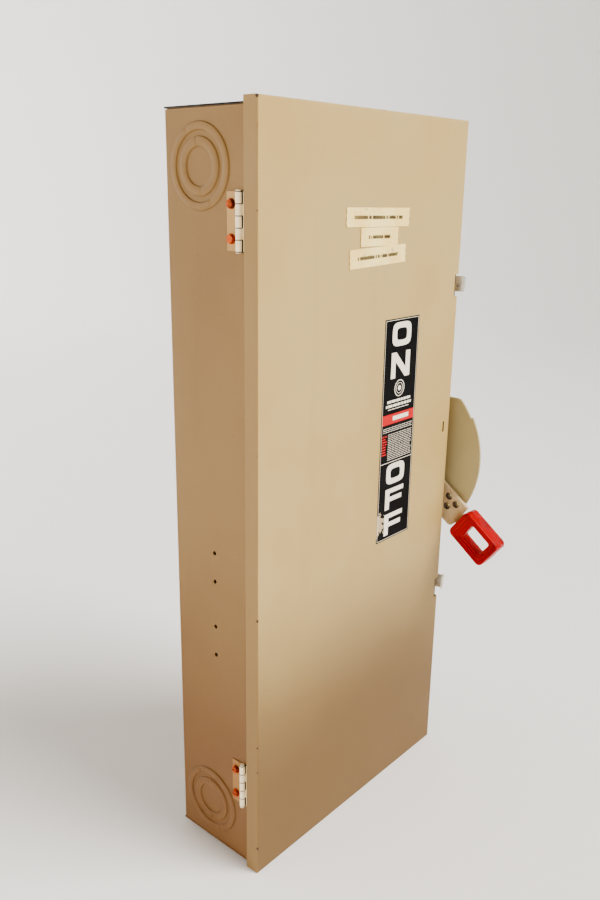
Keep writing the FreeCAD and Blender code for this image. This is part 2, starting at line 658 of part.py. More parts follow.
node("latch_brackets", group("bracket_pair", *(
    latch_bracket(f"bracket_{which}", level) for which, level in LATCHES.items())))
node("latch_pins", group("latch_pin_pair", *(
    latch_pin(f"latch_pin_{which}", level) for which, level in LATCHES.items())))
for which, level in LATCHES.items():
    node(f"latch_{which}", turned(latch_strap(f"strap_{which}"), d.latch_open,
                                  x=LATCH_X, y=d.latch_y, z=level, axis=(0, 0, 1)))


# ---------------------------------------------------------------- handle, guard and shaft

PADLOCKS = [(d.padlock_at.value + d.padlock_pcr.value * math.cos(math.radians(angle)),
             d.padlock_up.value + d.padlock_pcr.value * math.sin(math.radians(angle)))
            for angle in (28, 148, 268)]


def on_pivot(obj):
    """Hangs a part drawn along -Y from the pivot in the handle's OFF position."""
    return turned(obj, d.throw_half, y=d.shaft_y)


def padlock_holes(name, run, radius):
    return [rod(f"{name}_padlock{n}", "x", radius, run, y=-reach, z=up)
            for n, (reach, up) in enumerate(PADLOCKS)]


def handle_arm():
    """A flat steel arm with a welded boss; its end narrows to a tongue inside the grip."""
    run = (d.arm_x, d.arm_x + d.arm_gauge)
    body = doc.addObject("PartDesign::Body", "arm_body")
    outline = sketch_on(body, "YZ_Plane")
    rectangle(outline, (-d.arm_long, 0), spread(sized(0), d.arm_half))
    blade = pad(body, outline, d.arm_gauge)
    soften(body, blade, d.arm_half / 3,
           lambda box: box.XLength > 1 and box.YMax < 1 - d.arm_long.value and box.ZMin < 0)
    at(body, x=d.arm_x)
    metal = fuse("arm_metal", body, rod("arm_hub", "x", d.hub_r, run),
                 block("arm_tongue", run, (-d.tongue_end, -d.arm_long + 4),
                       spread(sized(0), d.tongue_half)),
                 rod("arm_boss", "x", d.boss_r,
                     (BOX_SIDE + d.bushing_flange + 0.6, d.arm_x)))
    bore = rod("arm_bore", "x", d.shaft_r, (d.shaft_start, d.shaft_end))
    return cut("arm", metal, bore, *padlock_holes("arm", (d.arm_x - 1, d.arm_x + 9), d.padlock_r))


def handle_grip():
    """A moulded loop pressed over the arm's tongue, with a window through it."""
    half = d.grip_thick / 2
    body = doc.addObject("PartDesign::Body", "grip_body")
    outline = sketch_on(body, "YZ_Plane")
    rectangle(outline, (-d.grip_end, -d.grip_start), spread(sized(0), d.grip_half))
    pad(body, outline, d.grip_thick)
    window = sketch_on(body, "YZ_Plane")
    rectangle(window, (-d.window_end, -d.window_start), spread(sized(0), d.window_half))
    loop = pocket(body, window, d.grip_thick)
    corners = soften(body, loop, d.grip_half / 4, lambda box: box.XLength > 1
                     and max(abs(box.ZMin), abs(box.ZMax)) > d.grip_half.value - 1)
    soften(body, corners, d.grip_half / 10, lambda box: box.XLength < 1
           and (box.ZLength > 30 or box.YLength > 40))
    at(body, x=d.grip_x - half)
    run = (d.arm_x, d.arm_x + d.arm_gauge)
    socket = block("grip_socket", run, (-d.tongue_end, 0), spread(sized(0), d.tongue_half))
    return cut("grip", body, socket)


def guard_plate():
    """The quadrant that the arm swings behind, on a web and a foot screwed to the side."""
    run = (d.guard_x, d.guard_x + d.guard_gauge)
    reach = d.guard_r.value + 10
    spreads = math.tan(math.radians(d.guard_step_angle.value)) * reach
    nose = common("guard_nose", rod("guard_large", "x", d.guard_r, run, y=d.shaft_y),
                  slab("guard_wedge", [(d.shaft_y.value, 0), (d.shaft_y.value - reach, spreads),
                                       (d.shaft_y.value - reach, -spreads)], "x", run))
    face = fuse("guard_face", nose, rod("guard_small", "x", d.guard_step_r, run, y=d.shaft_y))
    frame = block("guard_frame", run, (d.shaft_y - d.guard_r - 1, d.shaft_y + d.guard_rear),
                  spread(sized(0), d.guard_half))
    trimmed = common("guard_trimmed", face, frame)
    soft = rounded("guard_soft", trimmed, d.guard_corner, lambda box: box.XLength > 1
                   and box.YLength < 0.1 and box.ZMax - box.ZMin < 0.1
                   and abs(abs(box.ZMin) - d.guard_half.value) < 0.1
                   and box.YMin < d.shaft_y.value)
    rear = d.shaft_y + d.guard_rear
    feet = spread(sized(0), d.guard_foot_half)
    web = block("guard_web", (BOX_SIDE, d.guard_x), (rear - d.guard_gauge, rear), feet)
    foot = block("guard_foot_plate", (BOX_SIDE, BOX_SIDE + d.guard_gauge),
                 (rear, rear + d.guard_foot), feet)
    holes = [rod(f"guard_hole{way}", "x", 2.3, (BOX_SIDE - 1, BOX_SIDE + 5),
                 y=rear + d.guard_foot / 2 + 1, z=way * 48) for way in (-1, 0, 1)]
    holes.append(rod("guard_bearing", "x", BEARING_R, (d.guard_x - 1, d.guard_x + 9), y=d.shaft_y))
    padlocks = on_pivot(group("guard_padlocks", *padlock_holes(
        "guard", (d.guard_x - 1, d.guard_x + 9), d.padlock_r + 0.4)))
    return cut("guard", fuse("guard_metal", soft, web, foot), padlocks, *holes)


node("guard_plate", guard_plate())
node("guard_screws", group("guard_screw_set", *(
    screw(f"guard_screw_{way}", "x", BOX_SIDE + d.guard_gauge, 1, d.guard_gauge,
          y=d.shaft_y + d.guard_rear + d.guard_foot / 2 + 1, z=way * 48) for way in (-1, 0, 1))))
node("shaft_bushing", cut(
    "bushing",
    fuse("bushing_blank",
         rod("bushing_tube", "x", d.bushing_r, (WALL_INSIDE - d.bushing_in, BOX_SIDE),
             y=d.shaft_y),
         rod("bushing_flange_disc", "x", d.bushing_flange_r, (BOX_SIDE, BOX_SIDE + d.bushing_flange),
             y=d.shaft_y),
         hexagon("bushing_nut", "x", d.bushing_flange_r, (WALL_INSIDE - 5, WALL_INSIDE),
                 y=d.shaft_y)),
    rod("bushing_bore", "x", BEARING_R, (d.frame_right, d.arm_x), y=d.shaft_y)))
node("handle_arm", on_pivot(handle_arm()))
node("handle_grip", on_pivot(handle_grip()))
node("operating_shaft", rod("shaft", "x", d.shaft_r, (d.shaft_start, d.shaft_end), y=d.shaft_y))
node("shaft_nut", cut(
    "retaining_nut",
    hexagon("nut_blank", "x", d.nut_r, (d.guard_x + d.guard_gauge + 0.4, d.shaft_end - 1),
            y=d.shaft_y),
    rod("nut_bore", "x", d.shaft_r, (d.guard_x, d.shaft_end + 1), y=d.shaft_y)))


# ---------------------------------------------------------------- mounting pan and bases

STUDS = [(x, z) for x in (-117, 96) for z in (-314, -140, 154)]
BASES = {
    "line": (d.line_base_low, d.line_base_top, 80),
    "centre": (d.centre_base_low, d.centre_base_top, -14),
    "load": (d.load_base_low, d.load_base_top, -290),
}
GAPS = [d.pole_first + (n - 0.5) * d.pole_pitch for n in (1, 2)]


def base(name, low, top, level):
    """A moulded block with a rounded front, fixed to the pan by screws between the poles."""
    blank = block(f"{name}_blank", (d.base_left, d.base_right), (d.base_front, PAN_FRONT),
                  (low, top))
    soft = rounded(f"{name}_soft", blank, d.edge_round, lambda box: box.YMax < -20)
    holes = [rod(f"{name}_hole", "y", 2.3, (d.base_front - 1, PAN_FRONT + 1), x=gap, z=level)
             for gap in GAPS]
    return cut(name, soft, *holes)


node("mounting_pan", cut(
    "pan", block("pan_sheet", (d.pan_left, d.pan_right), (PAN_FRONT, BACK), (d.pan_low, d.pan_top)),
    *(rod("pan_hole", "y", d.stud_r + 0.3, (PAN_FRONT - 1, 0), x=x, z=z) for x, z in STUDS)))
node("pan_studs", group("stud_set", *(
    fuse(f"stud_{n}", rod(f"stud_rod{n}", "y", d.stud_r, (PAN_FRONT - 7, BACK), x=x, z=z),
         hexagon(f"stud_nut{n}", "y", 5.5, (PAN_FRONT - 4.5, PAN_FRONT), x=x, z=z))
    for n, (x, z) in enumerate(STUDS))))
for name, limits in BASES.items():
    node(f"{name}_base", base(f"{name}_block", *limits))
base_screws = [
    screw(f"base_screw_{name}_{n}", "y", d.base_front, -1, PAN_FRONT - d.base_front, x=gap, z=level)
    for name, (low, top, level) in BASES.items() for n, gap in enumerate(GAPS)]


# ---------------------------------------------------------------- current path


def line_jaw(name, x):
    """A copper strap with the pair of jaws that the blade's tip enters."""
    strap = block(f"{name}_strap", spread(x, d.strap_half), (STRAP_FRONT, d.base_front),
                  (d.jaw_low, d.line_strap_top))
    jaws = both_sides(name, x, d.jaw_in, d.jaw_out, (d.jaw_front, STRAP_FRONT),
                      (d.jaw_low, d.jaw_high))
    return fuse(name, strap, *jaws)


def hinge_post(name, x):
    """A copper strap from the blade's hinge down to the upper fuse clip."""
    strap = block(f"{name}_strap", spread(x, d.strap_half), (STRAP_FRONT, d.base_front),
                  (d.fuse_top - d.fuse_blade, d.post_half))
    cheeks = both_sides(name, x, d.jaw_in, d.jaw_out, (d.post_front, STRAP_FRONT),
                        spread(sized(0), d.post_half))
    bore = rod(f"{name}_bore", "x", d.pivot_r, spread(x, 20), y=d.shaft_y)
    return cut(name, fuse(f"{name}_blank", strap, *cheeks), bore)


def pivot_pin(name, x):
    shank = rod(f"{name}_shank", "x", d.pivot_r, spread(x, d.jaw_out + 1), y=d.shaft_y)
    heads = [rod(f"{name}_head{way}", "x", d.pivot_r + 2,
                 (x + way * d.jaw_out, x + way * (d.jaw_out + 2)), y=d.shaft_y)
             for way in (-1, 1)]
    return fuse(name, shank, *heads)


def fuse_clip(name, x, low):
    """Two copper leaves on a foot, which grip a fuse's knife blade."""
    run = (low, low + d.clip_long)
    foot = block(f"{name}_foot", spread(x, d.strap_half), (STRAP_FRONT - 2, STRAP_FRONT), run)
    leaves = both_sides(name, x, d.jaw_in, d.jaw_in + d.clip_leaf, (d.clip_front, STRAP_FRONT), run)
    return fuse(name, foot, *leaves)


def lug(name, x, level):
    """A solid box lug: the wire runs up through it and a screw bears on the wire."""
    blank = block(f"{name}_blank", spread(x, d.lug_half), (d.lug_front, STRAP_FRONT),
                  spread(level, d.lug_high))
    soft = rounded(f"{name}_soft", blank, d.edge_round, lambda box: box.YMax < -56)
    return cut(name, soft,
               rod(f"{name}_wire", "z", d.wire_r, spread(level, 30), x=x, y=d.wire_y),
               rod(f"{name}_thread", "y", d.lug_screw_r, (d.lug_front - 1, d.wire_y), x=x, z=level))


def lug_screw(name, x, level):
    blank = rod(f"{name}_blank", "y", d.lug_screw_r, (d.lug_front - 3, d.wire_y - d.wire_r),
                x=x, z=level)
    socket = hexagon(f"{name}_socket", "y", 4.0, (d.lug_front - 4, d.lug_front + 2), x=x, z=level)
    return cut(name, blank, socket)


def per_pole(name, make, *extra):
    return group(name, *(make(f"{name}_{n}", x, *extra) for n, x in enumerate(POLES)))


CLIP_LEVELS = {"upper": d.fuse_top - d.fuse_blade + 4, "lower": FUSE_BOTTOM + 4}
node("line_jaws", per_pole("jaw", line_jaw))
node("hinge_posts", per_pole("post", hinge_post))
node("blade_pivots", per_pole("pivot", pivot_pin))
node("load_straps", group("load_strap_set", *(
    block(f"load_strap_{n}", spread(x, d.strap_half), (STRAP_FRONT, d.base_front),
          (d.load_strap_low, FUSE_BOTTOM + d.fuse_blade)) for n, x in enumerate(POLES))))
node("fuse_clips", group("clip_set", *(
    fuse_clip(f"clip_{which}_{n}", x, low)
    for which, low in CLIP_LEVELS.items() for n, x in enumerate(POLES))))
node("clip_springs", group("spring_set", *(
    plate for which, low in CLIP_LEVELS.items() for n, x in enumerate(POLES)
    for plate in both_sides(f"spring_{which}_{n}", x, d.jaw_in + d.clip_leaf,
                            d.jaw_in + d.clip_leaf + d.clip_spring,
                            (d.clip_front + 3, STRAP_FRONT - 2), (low + 3, low + d.clip_long - 3)))))
node("wire_lugs", group("lug_set", per_pole("line_lug", lug, d.line_lug_z),
                        per_pole("load_lug", lug, d.load_lug_z)))
node("lug_screws", group("lug_screw_set", *(
    lug_screw(f"lug_screw_{n}_{int(level.value)}", x, level)
    for level in (d.line_lug_z, d.load_lug_z) for n, x in enumerate(POLES))))


# ---------------------------------------------------------------- arc chutes and guards


def chute_boards(name, x):
    """Two side boards and a front board of fibre, open below for the blade."""
    inner = d.chute_half - d.chute_board
    sides = both_sides(name, x, inner, d.chute_half, (d.chute_front, d.base_front),
                       (d.chute_low, d.chute_top))
    front = block(f"{name}_front", spread(x, inner), (d.chute_front, d.chute_front + d.chute_board),
                  (d.chute_low, d.chute_top))
    return fuse(name, *sides, front)


def chute_plates(name, x):
    """Five steel splitter plates with a throat that the blade passes through."""
    plates = []
    for n in range(5):
        rear = d.chute_front + d.chute_board + (n + 1) * d.chute_pitch
        plates.append(cut(
            f"{name}_{n}",
            block(f"{name}_{n}_plate", spread(x, d.chute_half - d.chute_board),
                  (rear - d.chute_plate, rear), (d.chute_low, d.chute_top)),
            block(f"{name}_{n}_throat", spread(x, d.chute_notch),
                  (rear - d.chute_plate - 1, rear + 1), (d.chute_low - 1, d.chute_notch_top))))
    return group(name, *plates)


def line_shield():
    """A clear cover over the line lugs, on a leg at each end."""
    left, right = d.base_left + 2, d.base_right - 2
    run = (d.shield_front, d.shield_front + d.shield_gauge)
    plate = block("shield_plate", (left, right), run, (d.shield_low, d.shield_top))
    legs = [block(f"shield_leg{n}", x, (d.shield_front, d.base_front),
                  (d.shield_low, d.line_base_top))
            for n, x in enumerate(((left, left + d.shield_gauge),
                                   (right - d.shield_gauge, right)))]
    return fuse("shield", plate, *legs)


node("arc_chutes", per_pole("chute", chute_boards))
node("arc_plates", per_pole("splitter", chute_plates))
node("line_shield", line_shield())
node("phase_barriers", group("barrier_set", *(
    block(f"barrier_{n}", spread(x, d.barrier_gauge / 2), (d.barrier_front, d.base_front),
          (d.barrier_low, d.barrier_top)) for n, x in enumerate(GAPS))))


# ---------------------------------------------------------------- moving blades


def on_blades(obj):
    """Hangs a part drawn straight up from the pivot in the blades' open position."""
    return turned(obj, d.blade_rest, y=d.shaft_y)


def blade(name, x):
    """A copper knife blade, round at its pivot end."""
    run = spread(x, d.blade_half)
    flat = block(f"{name}_flat", run, spread(sized(0), d.blade_wide), (0, d.blade_long))
    soft = rounded(f"{name}_soft", flat, d.blade_wide / 4,
                   lambda box: box.XLength > 1 and box.ZMin > 60)
    blank = fuse(f"{name}_blank", soft, rod(f"{name}_heel", "x", d.blade_wide, run))
    return cut(name, blank, rod(f"{name}_bore", "x", d.pivot_r + d.pin_play, spread(x, 9)))


def crossbar():
    """The moulded bar that all three blades pass through."""
    bar = block("bar_blank", (d.bar_left, d.bar_right), (-d.bar_front, d.bar_rear),
                (d.bar_near, d.bar_far))
    soft = rounded("bar_soft", bar, d.edge_round, lambda box: box.XLength > 100)
    slots = [block(f"bar_slot{n}", spread(x, d.blade_half), spread(sized(0), d.blade_wide), (0, 60))
             for n, x in enumerate(POLES)]
    return cut("bar", soft, *slots)


DRIVE_RUN = (d.bar_right, d.bar_right + d.drive_thick)
node("blades", on_blades(per_pole("blade", blade)))
node("crossbar", on_blades(crossbar()))
node("drive_arm", on_blades(cut(
    "drive", fuse("drive_blank", rod("drive_hub", "x", d.drive_hub_r, DRIVE_RUN),
                  block("drive_web", DRIVE_RUN, spread(sized(0), d.drive_half),
                        (0, d.bar_far - 1))),
    rod("drive_bore", "x", d.shaft_r, (d.shaft_start - 9, d.frame_left)),
    *(rod(f"drive_hole{way}", "x", 2.3, spread(d.bar_right, 9), y=way * 6,
          z=(d.bar_near + d.bar_far) / 2) for way in (-1, 1)))))
node("drive_screws", on_blades(group("drive_screw_set", *(
    screw(f"drive_screw_{way}", "x", d.bar_right + d.drive_thick, 1, d.drive_thick, 4.2,
          y=way * 6, z=(d.bar_near + d.bar_far) / 2) for way in (-1, 1)))))


# ---------------------------------------------------------------- fuses


def fuse_ends(name, x):
    """Brass caps with the knife blades brazed into them."""
    metal = []
    for way, end in ((-1, d.fuse_top), (1, FUSE_BOTTOM)):
        cap = end + way * d.fuse_blade
        metal.append(rod(f"{name}_cap{way}", "z", d.fuse_cap_r, (cap, cap + way * d.fuse_cap),
                         x=x, y=d.fuse_y))
        knife = block(f"{name}_knife{way}", spread(x, d.blade_half),
                      spread(d.fuse_y, d.fuse_blade_half), (end, cap))
        notch = block(f"{name}_notch{way}", spread(x, 9), spread(d.fuse_y, 3.2),
                      (end - way * 1, end + way * 7))
        metal.append(cut(f"{name}_tab{way}", knife, notch))
    return group(name, *(fuse(f"{name}_half{n}", *metal[2 * n:2 * n + 2]) for n in range(2)))


for letter, x in zip("abc", POLES):
    node(f"fuse_barrel_{letter}", rod(
        f"barrel_{letter}", "z", d.fuse_r,
        (FUSE_BOTTOM + d.fuse_blade + d.fuse_cap, d.fuse_top - d.fuse_blade - d.fuse_cap),
        x=x, y=d.fuse_y))
    node(f"fuse_ends_{letter}", fuse_ends(f"ends_{letter}", x))


# ---------------------------------------------------------------- mechanism


def side_outline():
    half, nose = d.frame_half.value, d.frame_nose.value
    upper = [(PAN_FRONT.value, half), (-40, half), (-62, 40), (-74, nose),
             (d.frame_front.value, nose)]
    return upper + [(y, -z) for y, z in reversed(upper)]


def mechanism_frame():
    """Two side plates joined by a back web: they carry the shaft and the spring's anchor."""
    sides = [slab(f"frame_side_{n}", side_outline(), "x", (start, start + d.frame_gauge))
             for n, start in enumerate((d.frame_left, d.frame_right))]
    web = block("frame_web", (d.frame_left, d.frame_right), (PAN_FRONT - d.frame_gauge, PAN_FRONT),
                spread(sized(0), d.frame_half))
    run = (d.frame_left - 1, d.frame_right + 9)
    return cut("frame", fuse("frame_blank", *sides, web),
               rod("frame_bearing", "x", BEARING_R, run, y=d.shaft_y),
               rod("frame_anchor", "x", d.anchor_r, run, y=d.anchor_y))


def crank():
    """Two cheeks keyed to the shaft with the drive pin between them."""
    cheeks = []
    for n, start in enumerate((d.crank_left, d.crank_right)):
        run = (start, start + d.cheek)
        cheeks.append(fuse(
            f"cheek_{n}", rod(f"cheek_hub{n}", "x", d.crank_hub_r, run),
            rod(f"cheek_end{n}", "x", d.crank_end_r, run, y=-d.crank_reach),
            block(f"cheek_web{n}", run, (-d.crank_reach, 0), spread(sized(0), d.crank_end_r))))
    pin = rod("crank_pin", "x", d.crank_pin_r, (d.crank_left - 1, d.crank_right + d.cheek + 1),
              y=-d.crank_reach)
    bore = rod("crank_bore", "x", d.shaft_r, (d.shaft_start, d.frame_right))
    return cut("crank_set", fuse("crank_blank", *cheeks, pin), bore)


def spring_guide():
    """An eye on the anchor pin, a rod through the spring, and a fork that rides the crank pin."""
    across = spread(sized(0), d.guide_half)
    tines = [block(f"guide_tine{way}", across, (d.guide_shoulder + 1, d.guide_fork),
                   (way * d.fork_slot, way * (d.fork_slot + d.fork_tine))) for way in (-1, 1)]
    blank = fuse("guide_blank", rod("guide_eye", "x", d.guide_eye_r, across),
                 rod("guide_rod", "y", d.guide_rod_r, (0, d.guide_shoulder + 1)),
                 rod("guide_shoulder_disc", "y", d.guide_shoulder_r,
                     (d.guide_shoulder, d.guide_shoulder + d.frame_gauge)), *tines)
    return cut("guide", blank, rod("guide_bore", "x", d.anchor_r + d.pin_play, spread(sized(0), 9)))


def coil_spring():
    """Round wire wound on a helix round the guide's rod."""
    height = d.guide_shoulder.value - d.coil_start.value - 2 * d.coil_wire_r.value
    helix = Part.makeHelix(d.coil_pitch.value, height, d.coil_r.value)
    start = FreeCAD.Vector(d.coil_r.value, 0, 0)
    profile = Part.Wire(Part.makeCircle(d.coil_wire_r.value, start, FreeCAD.Vector(0, 1, 0)))
    coil = doc.addObject("Part::Feature", "coil")
    wire = Part.Wire(helix).makePipeShell([profile], True, True)
    wire.rotate(FreeCAD.Vector(), FreeCAD.Vector(1, 0, 0), -90)
    wire.translate(FreeCAD.Vector(0, d.coil_start.value + d.coil_wire_r.value, 0))
    coil.Shape = wire
    return group("coil_set", coil)


def guide_angle():
    """How far below level the guide points when the handle is OFF."""
    half = math.radians(d.throw_half.value)
    reach = d.crank_reach.value
    level = d.shaft_y.value - d.anchor_y.value - reach * math.cos(half)
    return -math.degrees(math.atan2(reach * math.sin(half), level))


def interlock_lever():
    """A flat lever: the nose catches the door's tongue, and a tab stands behind the release slot."""
    run = (d.lock_x, d.lock_x + d.lock_gauge)
    disc = rod("lever_disc", "x", 8.0, run)
    plates = [block(f"lever_{name}", x_run, y_run, z_run) for name, x_run, y_run, z_run in (
        ("arm", run, (-40, 0), (-7, 2)), ("nose", run, (-46, -40), (-7, 9.5)),
        ("leg", run, (-31, -25), (0, 46)), ("top", run, (-42, -25), (38, 46)),
        ("tab", (d.lock_x, 158), (-42, -40), (38, 46)))]
    bore = rod("lever_bore", "x", d.lock_pin_r + d.pin_play, spread(d.lock_x, 9))
    return cut("lever", fuse("lever_blank", disc, *plates), bore)


def lever_pin():
    start = d.frame_right + d.frame_gauge
    shank = rod("lever_pin_shank", "x", d.lock_pin_r, (start, start + 4.5), y=d.lock_y, z=d.lock_z)
    head = rod("lever_pin_head", "x", d.lock_pin_r + 2, (start + 3.2, start + 4.8),
               y=d.lock_y, z=d.lock_z)
    return fuse("lever_pin", shank, head)


node("mechanism_frame", mechanism_frame())
node("crank", on_pivot(crank()))
node("spring_guide", turned(spring_guide(), guide_angle(), x=d.guide_x, y=d.anchor_y))
node("coil_spring", turned(coil_spring(), guide_angle(), x=d.guide_x, y=d.anchor_y))
node("interlock_lever", turned(interlock_lever(), 0, y=d.lock_y, z=d.lock_z))
node("mechanism_pins", group("pin_set", lever_pin(), rod(
    "anchor", "x", d.anchor_r, (d.frame_left, d.frame_right + d.frame_gauge), y=d.anchor_y)))


# ---------------------------------------------------------------- ground bar

GROUND_SCREWS = [d.ground_z + n * 20 - 30 for n in range(4)]
GROUND_Y = (BACK - d.ground_off - d.ground_thick, BACK - d.ground_off)
GROUND_X = spread(d.ground_x, d.ground_wide / 2)


def ground_bar():
    """A bar on two feet, with a wire hole and a clamping screw at each of four places."""
    bar = block("ground_blank", GROUND_X, GROUND_Y, spread(d.ground_z, d.ground_long / 2))
    feet = [block(f"ground_foot{way}", GROUND_X, (BACK - d.ground_off - 1, BACK),
                  spread(d.ground_z + way * 36, 6)) for way in (-1, 1)]
    holes = []
    for n, level in enumerate(GROUND_SCREWS):
        holes.append(rod(f"ground_wire{n}", "x", 3.4, spread(d.ground_x, 9),
                         y=BACK - d.ground_off - d.ground_thick / 2 + 1, z=level))
        holes.append(rod(f"ground_thread{n}", "y", 2.2, (GROUND_Y[0] - 1, GROUND_Y[0] + 5),
                         x=d.ground_x, z=level))
    return cut("ground", fuse("ground_metal", bar, *feet), *holes)


node("ground_bar", ground_bar())
ground_screws = [
    screw(f"ground_screw_{n}", "y", GROUND_Y[0] - 1.5, -1, 3.5, 4.0, x=d.ground_x, z=level)
    for n, level in enumerate(GROUND_SCREWS)]
node("inner_screws", group("inner_screw_set", *base_screws, *ground_screws))


# ---------------------------------------------------------------- checks and files

doc.recompute()
for obj in doc.Objects:
    if {"Invalid", "Error"} & set(obj.State):
        raise ValueError(f"{obj.Label} did not recompute: {obj.State}")
os.makedirs("parts", exist_ok=True)
for obj in FINISHED:
    shape = obj.Shape
    if shape.isNull() or not shape.isValid() or not shape.Solids:
        raise ValueError(f"{obj.Label} has no valid shape")
    shape.exportStep(f"parts/{obj.Label}.step")
    box = shape.BoundBox
    print(f"{obj.Label:20s} solids {len(shape.Solids):3d}  volume {shape.Volume:12.1f}  "
          f"x {box.XMin:7.1f} {box.XMax:7.1f}  y {box.YMin:7.1f} {box.YMax:7.1f}  "
          f"z {box.ZMin:7.1f} {box.ZMax:7.1f}")
print(len(FINISHED), "sub-parts")
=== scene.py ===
import bpy
import functools
import json
import math
import numpy as np
from mathutils import Matrix, Vector


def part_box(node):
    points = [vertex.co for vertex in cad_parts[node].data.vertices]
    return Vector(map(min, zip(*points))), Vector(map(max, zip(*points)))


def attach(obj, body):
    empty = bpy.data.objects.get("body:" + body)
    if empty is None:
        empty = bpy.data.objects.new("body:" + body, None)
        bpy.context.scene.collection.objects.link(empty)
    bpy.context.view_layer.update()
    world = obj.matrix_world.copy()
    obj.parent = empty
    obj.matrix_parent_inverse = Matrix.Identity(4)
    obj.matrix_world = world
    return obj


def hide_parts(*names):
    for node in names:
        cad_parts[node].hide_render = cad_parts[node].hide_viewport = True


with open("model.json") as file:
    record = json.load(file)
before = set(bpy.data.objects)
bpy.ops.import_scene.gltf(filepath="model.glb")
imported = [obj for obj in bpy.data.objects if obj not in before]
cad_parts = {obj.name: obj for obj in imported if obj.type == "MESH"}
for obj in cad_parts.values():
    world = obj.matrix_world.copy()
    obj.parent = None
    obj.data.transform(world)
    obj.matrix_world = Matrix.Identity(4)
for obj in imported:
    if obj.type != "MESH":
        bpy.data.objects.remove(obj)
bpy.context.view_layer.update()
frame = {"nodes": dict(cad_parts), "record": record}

# ------------------------------------------------------------------ wrapped enclosure
# Back and both sides are one sheet of 1.5 mm steel, bent on a press brake, with a tray-shaped
# wall spot-welded into each end. All three were dipped and baked in the same tan enamel, which
# has gone brown with dust and age and has rubbed through at the raw edges. Their colour is the
# door's paint painted darker and browner, as painted shade on side walls that face from the light.


class Finish:
    """One surface finish being made: each method adds a node and returns its output."""

    def __init__(self, name, roughness=0.5, metallic=0.0, **fixed):
        self.material = bpy.data.materials.new(name)
        self.material.use_nodes = True
        self.tree = self.material.node_tree
        self.shader = self.tree.nodes["Principled BSDF"]
        self.shader.inputs["Roughness"].default_value = roughness
        self.shader.inputs["Metallic"].default_value = metallic
        for socket, value in fixed.items():
            self.shader.inputs[socket.replace("_", " ")].default_value = value
        self.place = self.add("TexCoord").outputs["Object"]

    def add(self, kind, wires=None, **settings):
        node = self.tree.nodes.new("ShaderNode" + kind)
        for key, value in settings.items():
            setattr(node, key, value)
        for socket, value in (wires or {}).items():
            if isinstance(value, bpy.types.NodeSocket):
                self.tree.links.new(value, node.inputs[socket])
            else:
                node.inputs[socket].default_value = value
        return node

    def noise(self, scale, detail=3.0, stretch=(1, 1, 1)):
        """Cloudy noise, scale in waves per metre, stretched by a factor on each axis."""
        spot = self.add("Mapping", {0: self.place, "Scale": stretch}).outputs[0]
        return self.add("TexNoise", {"Vector": spot, "Scale": scale, "Detail": detail}).outputs[0]

    def maths(self, operation, first, second=0.0):
        return self.add("Math", {0: first, 1: second}, operation=operation).outputs[0]

    def rise(self, value, low, high):
        """0 below low, 1 above high, smooth between; with low above high it falls instead."""
        return self.add("MapRange", {0: value, 1: low, 2: high},
                        interpolation_type="SMOOTHSTEP").outputs[0]

    def any_of(self, masks):
        """The strongest of several masks."""
        return functools.reduce(functools.partial(self.maths, "MAXIMUM"), masks)

    def coordinate(self, axis):
        return self.add("SeparateXYZ", {0: self.place}).outputs[axis]

    def gap_to(self, x=None, y=None, z=None):
        """Distance from a point, or from the straight line through it along an unset axis."""
        kept = [0.0 if value is None else 1.0 for value in (x, y, z)]
        centre = [value or 0.0 for value in (x, y, z)]
        flat = self.add("VectorMath", {0: self.place, 1: kept}, operation="MULTIPLY").outputs[0]
        return self.add("VectorMath", {0: flat, 1: centre},
                        operation="DISTANCE").outputs["Value"]

    def blend(self, amount, first, second):
        colours = [(*c, 1.0) if isinstance(c, tuple) else c for c in (first, second)]
        return self.add("Mix", {0: amount, 6: colours[0], 7: colours[1]},
                        data_type="RGBA").outputs[2]

    def wire(self, socket, value):
        self.tree.links.new(value, self.shader.inputs[socket])

    def shade_so_far(self):
        """The colour already wired to the surface, for another layer to go over."""
        return self.shader.inputs["Base Color"].links[0].from_socket

    def relief(self, height, depth):
        """Bump of a real depth in metres."""
        bump = self.add("Bump", {"Height": height, "Distance": depth, "Strength": 1.0})
        self.wire("Normal", bump.outputs[0])


def coat(material, *nodes):
    """Puts a finish on CAD nodes."""
    for node in nodes:
        for slot in frame["nodes"][node].material_slots:
            slot.material = material


def surface(name, points, faces, material, body, sharp=35):
    """A finished piece from points in the row frame: shaded smooth, creased past an angle."""
    mesh = bpy.data.meshes.new(name)
    mesh.from_pydata(np.asarray(points).reshape(-1, 3), [], [tuple(map(int, f)) for f in faces])
    mesh.materials.append(material)
    mesh.shade_smooth()
    mesh.set_sharp_from_angle(angle=math.radians(sharp))
    piece = bpy.data.objects.new(name, mesh)
    bpy.context.scene.collection.objects.link(piece)
    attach(piece, body)
    return piece


def grid_faces(rows, columns, close_rows=False, close_columns=False, start=0):
    """Quads between neighbouring points of a rows by columns grid, joined up where it closes."""
    r, c = np.meshgrid(np.arange(rows - (not close_rows)),
                       np.arange(columns - (not close_columns)), indexing="ij")
    r2, c2 = (r + 1) % rows, (c + 1) % columns
    quads = np.stack([r * columns + c, r * columns + c2, r2 * columns + c2, r2 * columns + c], -1)
    return quads.reshape(-1, 4) + start


